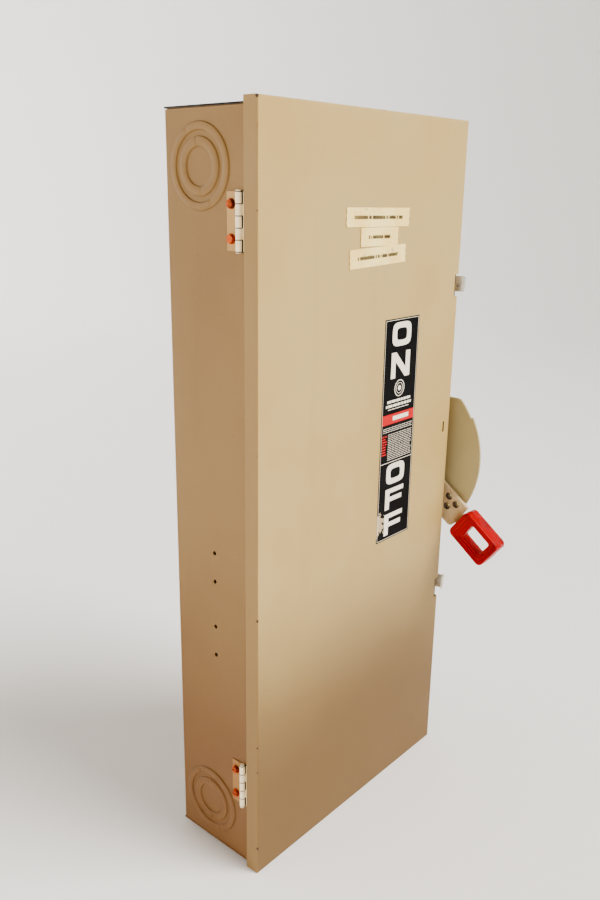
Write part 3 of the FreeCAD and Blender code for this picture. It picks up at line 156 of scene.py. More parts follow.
def enamel(name, colour, aged, edges, edge_reach=0.0016, worn=0.60, foot=0.75):
    """Baked enamel: cloudy ageing, orange peel, dust specks, and rust where edges have rubbed.

    It darkens and reddens downwards, to foot times its colour at the bottom of the enclosure,
    as painted shade, and on the door as a painted reflection of the brown floor.
    """
    paint = Finish(name, roughness=0.42, Specular_IOR_Level=0.40)
    cloud = paint.rise(paint.noise(5.0, 4.0), 0.35, 0.70)
    shade = paint.blend(cloud, colour, aged)
    runs = paint.rise(paint.noise(26.0, 5.0, (1.0, 1.0, 0.12)), 0.56, 0.78)
    shade = paint.blend(paint.maths("MULTIPLY", runs, 0.16), shade,
                        tuple(0.72 * c for c in aged))
    # Painted shade and reflection: darker and redder towards the floor.
    low = paint.rise(paint.maths("ADD", paint.coordinate(2), paint.maths(
        "MULTIPLY", paint.noise(4.0, 2.0), 0.14)), 0.06, -0.23)
    shade = paint.blend(low, shade, tuple(foot * s * c for s, c in zip((1, 0.82, 0.70), aged)))
    specks = paint.rise(paint.noise(420.0, 2.0), 0.70, 0.76)
    shade = paint.blend(paint.maths("MULTIPLY", specks, 0.45), shade,
                        tuple(0.45 * c for c in aged))
    rub = paint.rise(paint.noise(95.0, 6.0), worn, worn + 0.05)
    near_edges = [paint.rise(paint.gap_to(**edge), edge_reach, 0.3 * edge_reach)
                  for edge in edges]
    chips = paint.maths("MULTIPLY", paint.any_of(near_edges), rub)
    rust = paint.blend(paint.noise(700.0), (0.10, 0.035, 0.015), (0.26, 0.10, 0.04))
    paint.wire("Base Color", paint.blend(chips, shade, rust))
    gloss = paint.add("MapRange", {0: paint.noise(14.0, 3.0), 3: 0.34, 4: 0.52}).outputs[0]
    paint.wire("Roughness", paint.maths("MAXIMUM", gloss, paint.maths("MULTIPLY", chips, 0.85)))
    peel = paint.maths("MULTIPLY", paint.noise(620.0, 2.0), 0.12)
    paint.relief(paint.maths("SUBTRACT", peel, chips), 0.00010)
    return paint


shell_low, shell_high = (Vector(corner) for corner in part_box("top_end_wall"))
side_x = shell_high.x
rim_y = shell_low.y
end_z = frame["record"]["mounts"][-4]["pos_m"][2]
# Painted shade: both colours are the door's paint darkened for the shaded side walls, partly browned
# with age.
box_tan_shaded, box_aged_shaded = (0.300, 0.190, 0.076), (0.262, 0.156, 0.056)
box_edges = [dict(x=-side_x, y=rim_y), dict(x=side_x, y=rim_y), dict(x=-side_x, z=end_z),
             dict(x=side_x, z=end_z), dict(y=rim_y, z=end_z), dict(x=-side_x, z=-end_z),
             dict(x=side_x, z=-end_z)]


def shaded_seam(paint):
    """Paints a thin black line along the seam where the end wall laps the side, as painted shade."""
    across = paint.maths("ADD", paint.gap_to(x=-side_x, z=end_z), paint.maths(
        "MULTIPLY", paint.noise(60.0, 4.0), 0.0012))
    # Painted shade: a black line in the gap of the seam.
    grime_and_shade = paint.rise(across, 0.0026, 0.0018)
    paint.wire("Base Color", paint.blend(grime_and_shade, paint.shade_so_far(), (0.014, 0.010, 0.008)))
    return paint.material


box_enamel = shaded_seam(enamel("box_enamel", box_tan_shaded, box_aged_shaded, box_edges, worn=0.55))
coat(box_enamel, "enclosure_shell", "bottom_end_wall")
coat(shaded_seam(enamel("end_wall_enamel", box_tan_shaded, box_aged_shaded, box_edges, 0.0026, 0.50)),
     "top_end_wall")

# ------------------------------------------------------------------ conduit knockouts
# Each knockout is two raised rings coined into the sheet, so that a blow takes out the middle or
# the whole. The punch leaves rounded shoulders and the enamel pools along their feet.

ring_radii = [(0.0314, 0.0377), (0.0175, 0.0252)]
ring_height = 0.0015
shoulder = 0.0010
tie_angles = (1.25, 4.40)


def coined_rings(centre, normal):
    """Rings about an axis: height h(r) is a plateau with an S-shaped shoulder at each side.

    With s the distance outside the plateau over the shoulder's width, h falls as 1 - (3s2 - 2s3).
    It dips to half along a bell curve at the two ties, where the punch left the sheet uncut.
    """
    normal = np.array(normal, float)
    across = np.array([0.0, 1.0, 0.0])
    up = np.cross(normal, across)
    angle = np.linspace(0, 2 * np.pi, 120, endpoint=False)
    ray = np.cos(angle)[:, None] * across + np.sin(angle)[:, None] * up
    points, faces = [], []
    for inner, outer in ring_radii:
        foot = np.linspace(1, 0, 6)
        radius = np.concatenate([inner - shoulder * foot, outer + shoulder * foot[::-1]])
        s = np.concatenate([foot, foot[::-1]])
        ties = sum(np.exp(-((angle - tie - 25 * inner) / 0.05) ** 2) for tie in tie_angles)
        height = ((1 - 3 * s**2 + 2 * s**3)[:, None] * (1 - 0.5 * ties) * ring_height
                  - 0.00003 * (s == 1)[:, None])
        ring = centre + radius[:, None, None] * ray[None] + height[:, :, None] * normal
        turn = len(points) * ring.shape[0] * ring.shape[1]
        quads = grid_faces(*ring.shape[:2], close_columns=True, start=turn)
        points.append(ring)
        faces.append(quads)
    return np.concatenate(points), np.concatenate(faces)


for mount in frame["record"]["mounts"]:
    if mount["name"].startswith("conduit_"):
        points, faces = coined_rings(np.array(mount["pos_m"]), mount["axis"])
        surface(mount["name"] + "_rings", points, faces, box_enamel, "enclosure",
                sharp=60)

# ------------------------------------------------------------------ door
# The door is a shallow pan of the same steel, folded on four sides and welded at its corners. Its
# enamel is lighter than the box's, whose darker colour is painted shade, satin from handling, with
# chips down the hinge edge. Its left flange is painted in the box's darker colour as painted shade,
# the walls of the slot for the interlock's release are painted near black as painted shade, and its
# lower part is painted darker and redder as a painted reflection of the floor.

door_low, door_high = (Vector(corner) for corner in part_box("door_panel"))
door_edges = [dict(x=door_low.x, y=door_low.y), dict(x=door_high.x, y=door_low.y),
              dict(y=door_low.y, z=door_high.z), dict(y=door_low.y, z=door_low.z)]
# A foot of 0.36 paints the lower door much darker: a painted reflection of the floor.
door_paint = enamel("door_enamel", (0.520, 0.390, 0.175), (0.485, 0.345, 0.135), door_edges,
                    0.0012, 0.62, 0.36)
door_shade = door_paint.shade_so_far()
# Painted shade: the left flange, facing away from the light, takes the box's darker colour.
flange = door_paint.rise(door_paint.coordinate(0), door_low.x + 0.0014, door_low.x + 0.0002)
door_shade = door_paint.blend(door_paint.maths("MULTIPLY", flange, 0.8), door_shade, box_tan_shaded)
release_slot = dict(x=0.1550, z=0.0474)
round_slot = door_paint.rise(door_paint.gap_to(**release_slot), 0.0090, 0.0080)
behind_face = door_paint.rise(door_paint.coordinate(1), door_low.y + 0.0001, door_low.y + 0.0003)
# Painted shade: the slot's walls behind the door face are painted near black.
in_slot = door_paint.maths("MULTIPLY", round_slot, behind_face)
door_shade = door_paint.blend(in_slot, door_shade, (0.012, 0.009, 0.007))
knock_sizes = {-0.088: 0.0020, -0.235: 0.0016, -0.265: 0.0012, -0.362: 0.0022, 0.3935: 0.0024,
               0.302: 0.0010}


def knock(level, reach):
    """A ragged chip on the hinge edge at a level, about as large as its reach."""
    away = door_paint.gap_to(door_low.x, door_low.y + 0.0005, level)
    ragged = door_paint.maths("ADD", away, door_paint.maths(
        "MULTIPLY", door_paint.noise(500.0, 4.0), reach))
    return door_paint.rise(ragged, reach * 1.35, reach * 1.15)


knocks = door_paint.any_of([knock(level, reach) for level, reach in knock_sizes.items()])
door_paint.wire("Base Color", door_paint.blend(knocks, door_shade, (0.075, 0.035, 0.02)))
coat(door_paint.material, "door_panel", "door_stiffeners")

# ------------------------------------------------------------------ butt hinges
# Five-knuckle steel butts: the box leaf is screwed on and painted over, while the door leaf, the
# knuckles and the pin keep their yellow zinc. The washer-head screws are copper-coloured.


def plated(name, colour, tarnish, roughness=0.34, grain=(1, 1, 1), metallic=0.95):
    """Plated metal: fine drawn grain, cloudy tarnish and dark specks."""
    metal = Finish(name, roughness=roughness, metallic=metallic)
    clouds = metal.rise(metal.noise(70.0, 5.0), 0.38, 0.68)
    shade = metal.blend(clouds, colour, tarnish)
    specks = metal.rise(metal.noise(900.0, 2.0), 0.66, 0.74)
    shade = metal.blend(metal.maths("MULTIPLY", specks, 0.6), shade,
                        tuple(0.35 * c for c in tarnish))
    metal.wire("Base Color", shade)
    metal.wire("Roughness", metal.add(
        "MapRange", {0: clouds, 3: roughness, 4: min(1.0, roughness + 0.22)}).outputs[0])
    metal.relief(metal.noise(1500.0, 2.0, grain), 0.00003)
    return metal


barrel_low, barrel_high = (Vector(corner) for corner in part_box("hinge_pins"))
leaf_high = Vector(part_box("hinge_leaves_box")[1])
barrel = dict(x=(barrel_low.x + barrel_high.x) / 2, y=(barrel_low.y + barrel_high.y) / 2)
leaf_length, knuckle_count = 0.0510, 5
knuckle = leaf_length / knuckle_count
# Painted shade for the gaps between the knuckles.
gap_shade = (0.012, 0.010, 0.008)


def knuckle_gaps(finish):
    """1 in the gaps between knuckles, painted dark as shade: within 0.3 mm of a whole knuckle from
    the leaf's end.
    """
    along = finish.maths("SUBTRACT", finish.maths("ABSOLUTE", finish.coordinate(2)), leaf_high.z)
    return finish.rise(finish.maths("PINGPONG", along, knuckle / 2), 0.0006, 0.0002)


hinge_plating = plated("hinge_zinc", (1.0, 0.90, 0.68), (0.90, 0.76, 0.50), 0.45, metallic=0.1)
on_barrel = hinge_plating.rise(hinge_plating.gap_to(**barrel), 0.0036, 0.0030)
hinge_plating.wire("Base Color", hinge_plating.blend(
    hinge_plating.maths("MULTIPLY", on_barrel, knuckle_gaps(hinge_plating)),
    hinge_plating.shade_so_far(), gap_shade))
coat(hinge_plating.material, "hinge_leaves_door", "hinge_pins")
leaf_edge = dict(x=-side_x, y=leaf_high.y)
leaf_paint = enamel("hinge_leaf_enamel", (0.55, 0.365, 0.16), (0.49, 0.305, 0.12), [leaf_edge],
                    0.0012, 0.55)
on_barrel = leaf_paint.rise(leaf_paint.gap_to(**barrel), 0.0036, 0.0030)
leaf_shade = leaf_paint.blend(on_barrel, leaf_paint.shade_so_far(), (1.0, 0.88, 0.64))
leaf_paint.wire("Base Color", leaf_paint.blend(
    leaf_paint.maths("MULTIPLY", on_barrel, knuckle_gaps(leaf_paint)), leaf_shade, gap_shade))
leaf_paint.wire("Metallic", leaf_paint.maths("MULTIPLY", on_barrel, 0.1))
coat(leaf_paint.material, "hinge_leaves_box")
copper_screw = plated("copper_screws", (0.50, 0.11, 0.035), (0.12, 0.03, 0.012), 0.24)
coat(copper_screw.material, "hinge_screws")

# ------------------------------------------------------------------ edge latches
# Spring-steel straps on riveted pins, zinc plated, each hooking over a blackened keeper behind a
# notch in the door's free edge. The keeper was dipped in black oxide and wears grey at its rim; its
# near black also serves as painted shade for the dark inside of the notch.

bright_zinc = plated("bright_zinc", (0.88, 0.86, 0.80), (0.66, 0.62, 0.54), 0.26).material
coat(bright_zinc, "latch_upper", "latch_lower", "latch_brackets", "latch_pins")
# Black oxide, its near black also painted shade for the notch.
oxide_and_shade = Finish("black_oxide_and_shade", roughness=0.5, metallic=0.4)
oxide_and_shade.wire("Base Color", oxide_and_shade.blend(oxide_and_shade.rise(oxide_and_shade.noise(160.0, 5.0), 0.5, 0.75),
                                     (0.010, 0.009, 0.008), (0.05, 0.045, 0.04)))
oxide_and_shade.relief(oxide_and_shade.noise(1200.0), 0.00003)
coat(oxide_and_shade.material, "latch_keepers")

# ------------------------------------------------------------------ ON and OFF plate
# A thin plate of black lacquered aluminium glued to the door, screen-printed in white and red:
# two stacked words, a ring, a warning band and lines of print, shown here as plain bars.

plate_low, plate_high = (Vector(corner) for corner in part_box("switch_label"))
print_y = plate_low.y - 0.00004
letter_left, letter_right = plate_low.x + 0.0138, plate_high.x - 0.0146
stroke = 0.0082

lacquer = Finish("plate_lacquer", roughness=0.42, Specular_IOR_Level=0.10)
scuffed = lacquer.rise(lacquer.maths("ADD", lacquer.gap_to(x=plate_low.x, z=plate_low.z + 0.022),
                                     lacquer.maths("MULTIPLY", lacquer.noise(240.0, 6.0), 0.030)),
                       0.0290, 0.0270)
grazes = lacquer.rise(lacquer.noise(240.0, 4.0, (1.0, 1.0, 0.2)), 0.70, 0.74)
bare = lacquer.maths("MAXIMUM", scuffed, lacquer.maths("MULTIPLY", grazes, 0.3))
lacquer.wire("Base Color", lacquer.blend(bare, (0.003, 0.003, 0.0035), (0.52, 0.42, 0.28)))
lacquer.relief(lacquer.maths("SUBTRACT", lacquer.noise(500.0), bare), 0.00004)
coat(lacquer.material, "switch_label")


def printed(name, colour, worn_to):
    """Screen ink: flat, slightly rubbed."""
    ink = Finish(name, roughness=0.45)
    rubbed = ink.rise(ink.noise(380.0, 5.0), 0.62, 0.72)
    ink.wire("Base Color", ink.blend(ink.maths("MULTIPLY", rubbed, 0.7), colour, worn_to))
    ink.relief(ink.noise(900.0), 0.00002)
    return ink.material


white_ink = printed("white_ink", (0.90, 0.85, 0.74), (0.55, 0.48, 0.38))
red_ink = printed("red_ink", (0.56, 0.006, 0.005), (0.26, 0.01, 0.008))


def flat_shapes(name, outlines, material, body, y=None, thick=0.00006):
    """Each outline in X and Z becomes a plate of ink: the face at y, its sides going back."""
    front = print_y if y is None else y
    points, faces = [], []
    for outline in outlines:
        outline = np.asarray(outline, float)
        start, count = sum(map(len, points)), len(outline)
        turn = np.roll(outline, -1, axis=0)
        if np.sum(outline[:, 0] * turn[:, 1] - turn[:, 0] * outline[:, 1]) < 0:
            outline = outline[::-1]
        for depth in (front, front + thick):
            layer = np.insert(outline, 1, depth, axis=1)
            points.append(layer)
        faces.append(np.arange(count) + start)
        faces.append(np.arange(count)[::-1] + start + count)
        n = np.arange(count)
        m = (n + 1) % count
        faces += list(np.stack([start + n, start + count + n, start + count + m, start + m], 1))
    return surface(name, np.concatenate(points), faces, material, body)


def bar(left, right, low, high):
    return [(left, low), (right, low), (right, high), (left, high)]


def letter_f(low, high):
    left, right, middle = letter_left, letter_right, (low + high) / 2
    return [(left, low), (left + stroke, low), (left + stroke, middle - 0.4 * stroke),
            (right - 0.003, middle - 0.4 * stroke), (right - 0.003, middle + 0.3 * stroke),
            (left + stroke, middle + 0.3 * stroke), (left + stroke, high - 0.7 * stroke),
            (right, high - 0.7 * stroke), (right, high), (left, high)]


def letter_n(low, high):
    left, right = letter_left, letter_right
    return [(left, low), (left + stroke, low), (left + stroke, high - 1.3 * stroke),
            (right - 1.05 * stroke, low), (right, low), (right, high), (right - stroke, high),
            (right - stroke, low + 1.3 * stroke), (left + 1.05 * stroke, high), (left, high)]


def ring_strips(middle_x, middle_z, half_wide, half_high, band, power=4.0, count=40):
    """A superellipse ring |x/a|^p + |z/b|^p = 1 as short strips, from the rim inwards by a band."""
    t = np.linspace(0, 2 * np.pi, count + 1)
    cosine, sine = np.cos(t), np.sin(t)
    shape = np.stack([np.sign(cosine) * np.abs(cosine) ** (2 / power),
                      np.sign(sine) * np.abs(sine) ** (2 / power)], 1)
    rim = shape * (half_wide, half_high) + (middle_x, middle_z)
    hole = shape * (half_wide - band, half_high - 0.8 * band) + (middle_x, middle_z)
    return [(rim[n], rim[n + 1], hole[n + 1], hole[n]) for n in range(count)]


def letter_o(low, high):
    return ring_strips((letter_left + letter_right) / 2, (low + high) / 2,
                       (letter_right - letter_left) / 2, (high - low) / 2, stroke)


def rules(left, right, high, pitch, count, thick, order):
    """Lines of print as plain bars of uneven length, with gaps where words would part."""
    lines = []
    for n in range(count):
        level = high - n * pitch
        place = left
        while place < right - 0.002:
            end = min(right, place + order.uniform(0.003, 0.009))
            lines.append(bar(place, end, level - thick, level))
            place = end + 0.0009
    return lines


order = np.random.default_rng(7)
top = plate_high.z
white = letter_o(top - 0.0304, top - 0.0042) + [letter_n(top - 0.0655, top - 0.0367)]
white += letter_o(top - 0.1885, top - 0.1639)
white += [letter_f(top - 0.2188, top - 0.1937), letter_f(top - 0.2502, top - 0.2241)]
ring_x, ring_z = (letter_left + letter_right) / 2, top - 0.0775
white += ring_strips(ring_x, ring_z, 0.0094, 0.0094, 0.0012, 2.0)
white += ring_strips(ring_x, ring_z, 0.0062, 0.0062, 0.0008, 2.0, 28)
white += ring_strips(ring_x, ring_z, 0.0030, 0.0030, 0.0030, 2.0, 20)
title_rows = ((0.0895, 0.022, 0.0030), (0.0945, 0.024, 0.0030), (0.0995, 0.020, 0.0009))
for level, half, thick in title_rows:
    white += rules(ring_x - half, ring_x + half, top - level, 0.0, 1, thick, order)
white += rules(plate_low.x + 0.004, plate_high.x - 0.004, top - 0.1205, 0.0021, 3, 0.0006, order)
white += rules(plate_low.x + 0.014, plate_high.x - 0.004, top - 0.1285, 0.0021, 15, 0.0006, order)
white += [bar(plate_low.x + 0.002, plate_high.x - 0.002, top - 0.1618, top - 0.1611),
          bar(ring_x - 0.010, ring_x + 0.020, top - 0.1133, top - 0.1083)]
inset, line = 0.0012, 0.0005
white += [bar(plate_low.x + inset, plate_low.x + inset + line, plate_low.z + inset, top - inset),
          bar(plate_high.x - inset - line, plate_high.x - inset, plate_low.z + inset, top - inset),
          bar(plate_low.x + inset, plate_high.x - inset, top - inset - line, top - inset),
          bar(plate_low.x + inset, plate_high.x - inset, plate_low.z + inset,
              plate_low.z + inset + line)]
band = [bar(plate_low.x + 0.0018, plate_high.x - 0.0018, top - 0.1168, top - 0.1052)]
flat_shapes("plate_red_band", band, red_ink, "door")
red_print = rules(plate_low.x + 0.003, plate_low.x + 0.0115, top - 0.1288, 0.0030, 8, 0.0016, order)
flat_shapes("plate_red_print", red_print, red_ink, "door")
flat_shapes("plate_white_print", white, white_ink, "door", y=print_y - 0.00003)

# ------------------------------------------------------------------ paper tags
# Three strips of old card stuck to the door, yellowed, their edges browned and their corners
# lifting. Their typed lines are shown as plain bars.

card = Finish("old_card", roughness=0.8, Specular_IOR_Level=0.2)
mottle = card.rise(card.noise(45.0, 5.0), 0.35, 0.7)
fibres = card.maths("MULTIPLY", card.noise(900.0, 3.0, (0.3, 1.0, 1.0)), 0.5)
card_shade = card.blend(mottle, (1.0, 0.83, 0.38), (0.95, 0.70, 0.28))
card.wire("Base Color", card.blend(card.maths("MULTIPLY", card.rise(
    card.noise(120.0, 4.0), 0.62, 0.72), 0.5), card_shade, (0.42, 0.29, 0.15)))
card.relief(fibres, 0.00005)
typed = printed("typed_ink", (0.016, 0.012, 0.010), (0.10, 0.07, 0.045))
tag_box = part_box("circuit_tags")
tag_y = tag_box[0][1]
tags = [(0.0067, 0.2941, 0.0524, 0.0093, -0.6, (-0.0400, 0.0400)),
        (0.0093, 0.2751, 0.0314, 0.0092, -0.4, (-0.0180, 0.0180)),
        (0.0082, 0.2558, 0.0472, 0.0094, 2.0, (-0.0340, 0.0330))]


def tag_sheet(number, middle_x, middle_z, half_wide, half_high, tilt, typed_run):
    """A card strip: depth = base + a(|u|^6 + 0.4|v|^4) + waves, u and v from -1 to 1 across it."""
    turn = math.radians(tilt)
    u, v = np.meshgrid(np.linspace(-1, 1, 41), np.linspace(-1, 1, 13), indexing="ij")
    ragged = 1 + 0.012 * np.sin(9 * v + number) * (np.abs(u) == 1)
    across, up = u * half_wide * ragged, v * half_high
    lift = 0.0004 * (np.abs(u) ** 6 + 0.4 * np.abs(v) ** 4) + 0.00006 * np.sin(7 * u + 2 * number)
    x = middle_x + across * math.cos(turn) - up * math.sin(turn)
    z = middle_z + across * math.sin(turn) + up * math.cos(turn)
    front = np.stack([x, tag_y - 0.0001 - lift, z], -1)
    rear = front + (0, 0.00016, 0)
    faces = grid_faces(41, 13)[:, ::-1]
    count = 41 * 13
    rim = np.concatenate([np.arange(0, 13), np.arange(1, 41) * 13 + 12,
                          np.arange(11, -1, -1) + 40 * 13, np.arange(39, 0, -1) * 13])
    following = np.roll(rim, -1)
    wall = np.stack([rim, following, following + count, rim + count], 1)
    points = np.concatenate([front.reshape(-1, 3), rear.reshape(-1, 3)])
    surface(f"tag_{number}", points, np.concatenate([faces, faces[:, ::-1] + count, wall]),
            card.material, "door")
    order = np.random.default_rng(20 + number)
    place, words = typed_run[0], []
    while place < typed_run[1]:
        end = place + order.uniform(0.0004, 0.0007)
        corners = np.array(bar(place, end, -0.0017, order.uniform(0.0013, 0.0019)))
        words.append(np.stack([
            middle_x + corners[:, 0] * math.cos(turn) - corners[:, 1] * math.sin(turn),
            middle_z + corners[:, 0] * math.sin(turn) + corners[:, 1] * math.cos(turn)], 1))
        place = end + (0.0005 if order.random() < 0.90 else 0.0022)
    flat_shapes(f"tag_{number}_bars", words, typed, "door", y=tag_y - 0.00036)


for number, tag in enumerate(tags):
    tag_sheet(number, *tag)
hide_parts("circuit_tags")
coat(card.material, "wiring_card")

# ------------------------------------------------------------------ quadrant guard
# A pressed plate that the arm swings behind, with padlock holes at its OFF end. It wears the
# box's enamel, a little greener, and shows bare metal round its rim.

guard_paint = enamel("guard_enamel", (0.50, 0.445, 0.265), (0.44, 0.375, 0.21),
                     [dict(x=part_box("guard_plate")[1][0], y=0.0)], 0.001)
coat(guard_paint.material, "guard_plate")
coat(bright_zinc, "guard_screws", "shaft_bushing", "shaft_nut", "operating_shaft")

# ------------------------------------------------------------------ handle arm
# Flat steel, 4.8 mm thick, with a welded boss. Its cream enamel has rusted brown in and round the
# padlock holes and towards the grip.

arm_x = 0.18
padlock_reach, padlock_lift, padlock_radius = 0.1006, 0.0064, 0.0080
padlock_turns = (28, 148, 268)
shaft_low, shaft_high = (Vector(corner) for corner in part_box("operating_shaft"))
pivot_y, pivot_z = (shaft_low.y + shaft_high.y) / 2, (shaft_low.z + shaft_high.z) / 2
joints = {joint["name"]: joint for joint in frame["record"]["behaviour"]["joints"]}
rest_tilt = math.radians(joints["handle_throw"]["range_deg"][1] / 2)


def on_arm(x, reach, across):
    """The row-frame place of a point a reach out along the arm, and across it, at OFF."""
    y = pivot_y - reach * math.cos(rest_tilt) - across * math.sin(rest_tilt)
    z = pivot_z - reach * math.sin(rest_tilt) + across * math.cos(rest_tilt)
    return np.stack(np.broadcast_arrays(x, y, z), -1)


arm_steel = Finish("arm_enamel", roughness=0.45, metallic=0.0)
grip_end = on_arm(arm_x, 0.130, 0.0)
toward_grip = arm_steel.rise(arm_steel.maths(
    "ADD", arm_steel.gap_to(y=float(grip_end[1]), z=float(grip_end[2])),
    arm_steel.maths("MULTIPLY", arm_steel.noise(110.0, 6.0), 0.020)), 0.030, 0.014)
rusty = arm_steel.maths("MAXIMUM", toward_grip, arm_steel.rise(
    arm_steel.noise(120.0, 6.0), 0.64, 0.68))
hub = next(mount["pos_m"] for mount in frame["record"]["mounts"]
           if mount["name"] == "padlock_holes")
stain = arm_steel.maths("MULTIPLY", arm_steel.rise(arm_steel.maths(
    "ADD", arm_steel.gap_to(y=hub[1], z=hub[2]),
    arm_steel.maths("MULTIPLY", arm_steel.noise(300.0, 5.0), 0.012)), 0.017, 0.009), 0.30)
rusty = arm_steel.maths("MAXIMUM", rusty, stain)


def rusty_hole(turn):
    """The wall and ragged rim of the padlock hole at a turn round the pattern."""
    hole = on_arm(arm_x, padlock_reach + padlock_radius * math.cos(math.radians(turn)),
                  padlock_lift + padlock_radius * math.sin(math.radians(turn)))
    ragged = arm_steel.maths("ADD", arm_steel.gap_to(y=float(hole[1]), z=float(hole[2])),
                             arm_steel.maths("MULTIPLY", arm_steel.noise(400.0, 4.0), 0.0016))
    return arm_steel.rise(ragged, 0.0058, 0.0050)


bored = arm_steel.any_of([rusty_hole(turn) for turn in padlock_turns])
rust_shade = arm_steel.blend(arm_steel.noise(420.0, 4.0), (0.15, 0.055, 0.02), (0.44, 0.22, 0.09))
arm_shade = arm_steel.blend(arm_steel.rise(arm_steel.noise(40.0, 4.0), 0.35, 0.7),
                            (0.60, 0.50, 0.33), (0.50, 0.38, 0.23))
arm_shade = arm_steel.blend(rusty, arm_shade, rust_shade)
arm_steel.wire("Base Color", arm_steel.blend(bored, arm_shade, (0.055, 0.024, 0.012)))
arm_steel.relief(arm_steel.maths("ADD", arm_steel.maths("MULTIPLY", arm_steel.noise(800.0), 0.3),
                                 arm_steel.maths("MULTIPLY", rusty, -0.8)), 0.00012)
coat(arm_steel.material, "handle_arm")

# ------------------------------------------------------------------ red grip
# A loop of red thermoplastic moulded over the arm's tongue: a thick rounded rim, a stepped edge
# round the window, and a skin that shines where hands have polished it.

grip_low, grip_high = (Vector(corner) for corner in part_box("handle_grip"))
grip_x = (grip_low.x + grip_high.x) / 2
grip_half_thick = (grip_high.x - grip_low.x) / 2
grip_reach = (0.1245, 0.184)
grip_half = 0.0205
window_reach = (0.1415, 0.1725)
window_half = 0.011


def rounded_loop(reach, half, radius, count=9):
    """Points round a rectangle in (reach, across) whose corners are quarter circles."""
    middle, half_reach = (reach[0] + reach[1]) / 2, (reach[1] - reach[0]) / 2
    corner = np.array([(1, 1), (-1, 1), (-1, -1), (1, -1)])
    angle = np.linspace(0, np.pi / 2, count)[None] + (np.arange(4) * np.pi / 2)[:, None]
    along = corner[:, :1] * (half_reach - radius) + radius * np.cos(angle) + middle
    across = corner[:, 1:] * (half - radius) + radius * np.sin(angle)
    return np.stack([along.ravel(), across.ravel()], 1)


def grip_loop():
    """Section carried round the loop: place = inner + s(outer - inner), x = middle + t half.

    s and t run round the section: the window's wall, a sunken band round it, a step up to a
    crowned band, a groove, the outer rim, and a flat side with a moulding line along its middle.
    """
    outer = rounded_loop(grip_reach, grip_half, 0.0065)
    inner = rounded_loop(window_reach, window_half, 0.0030)
    crown = [(0.0, 0.0), (0.0, 0.56), (0.02, 0.63), (0.06, 0.66), (0.24, 0.68), (0.27, 0.71),
             (0.30, 0.84), (0.33, 0.88), (0.38, 0.90), (0.52, 0.91), (0.55, 0.89), (0.58, 0.86),
             (0.61, 0.86), (0.64, 0.90), (0.67, 0.97), (0.72, 0.995), (0.80, 1.0), (0.90, 0.99),
             (0.955, 0.965), (0.982, 0.92), (0.988, 0.86), (0.988, 0.07), (1.0, 0.03), (1.0, 0.0)]
    section = np.array(crown + [(s, -t) for s, t in reversed(crown[1:-1])])
    s, t = section[:, 0][None, :, None], section[:, 1]
    flat = inner[:, None] + s * (outer - inner)[:, None]
    x = np.broadcast_to(grip_x + t[None] * grip_half_thick, flat.shape[:2])
    return on_arm(x, flat[..., 0], flat[..., 1])


red = Finish("grip_red", roughness=0.28, Specular_IOR_Level=0.25)
handled = red.rise(red.noise(60.0, 5.0), 0.42, 0.72)
red_shade = red.blend(handled, (0.44, 0.0008, 0.0005), (0.30, 0.0005, 0.0003))
grime_and_shade = red.rise(red.noise(260.0, 6.0), 0.62, 0.74)
red.wire("Base Color", red.blend(red.maths("MULTIPLY", grime_and_shade, 0.5), red_shade,
                                 (0.16, 0.02, 0.012)))
red.wire("Roughness", red.add("MapRange", {0: handled, 3: 0.24, 4: 0.42}).outputs[0])
red.relief(red.noise(480.0, 3.0), 0.00006)
loop_points = grip_loop()
grip = surface("grip_loop", loop_points,
               grid_faces(*loop_points.shape[:2], close_rows=True, close_columns=True),
               red.material, "handle", sharp=50)
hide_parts("handle_grip")

# ------------------------------------------------------------------ bases, bar and barriers
# Black phenolic mouldings carry the copper, the crossbar ties the blades together, and red-brown
# fibre boards part the poles and box in the arcs.

phenolic = Finish("black_phenolic", roughness=0.42)
phenolic.wire("Base Color", phenolic.blend(phenolic.rise(phenolic.noise(300.0, 4.0), 0.5, 0.7),
                                           (0.012, 0.011, 0.010), (0.030, 0.026, 0.022)))
phenolic.relief(phenolic.noise(700.0, 4.0), 0.00006)
coat(phenolic.material, "line_base", "centre_base", "load_base", "crossbar")
fibre = Finish("fibre_board", roughness=0.7)
weave = fibre.noise(900.0, 3.0, (1.0, 1.0, 0.1))
fibre.wire("Base Color", fibre.blend(weave, (0.20, 0.060, 0.030), (0.36, 0.13, 0.065)))
fibre.relief(weave, 0.00008)
coat(fibre.material, "arc_chutes", "phase_barriers")
clear = Finish("clear_sheet", roughness=0.08, Transmission_Weight=0.9, Alpha=0.45)
clear.wire("Base Color", clear.blend(clear.noise(30.0), (0.86, 0.88, 0.84), (0.80, 0.82, 0.76)))
clear.relief(clear.noise(60.0), 0.00003)
coat(clear.material, "line_shield")

# ------------------------------------------------------------------ current path
# Jaws, blades, posts and clips are punched from hard copper that has gone brown where nothing
# rubs, and the lugs are cast and tin-plated aluminium with socket screws.

copper = plated("hard_copper", (0.80, 0.42, 0.24), (0.50, 0.22, 0.12), 0.30,
                (1.0, 1.0, 0.1)).material
coat(copper, "line_jaws", "hinge_posts", "load_straps", "fuse_clips", "blades")
tinned = plated("tinned_lugs", (0.80, 0.80, 0.78), (0.60, 0.60, 0.58), 0.36).material
coat(tinned, "wire_lugs", "lug_screws", "ground_bar")
spring_steel = plated("spring_steel", (0.42, 0.42, 0.43), (0.26, 0.25, 0.24), 0.30).material
coat(spring_steel, "clip_springs", "coil_spring")

# ------------------------------------------------------------------ cartridge fuses
# Each fuse is a tube of varnished fibre between plated caps with knife blades; a paper band is
# glued round its middle, its print shown as plain bars.

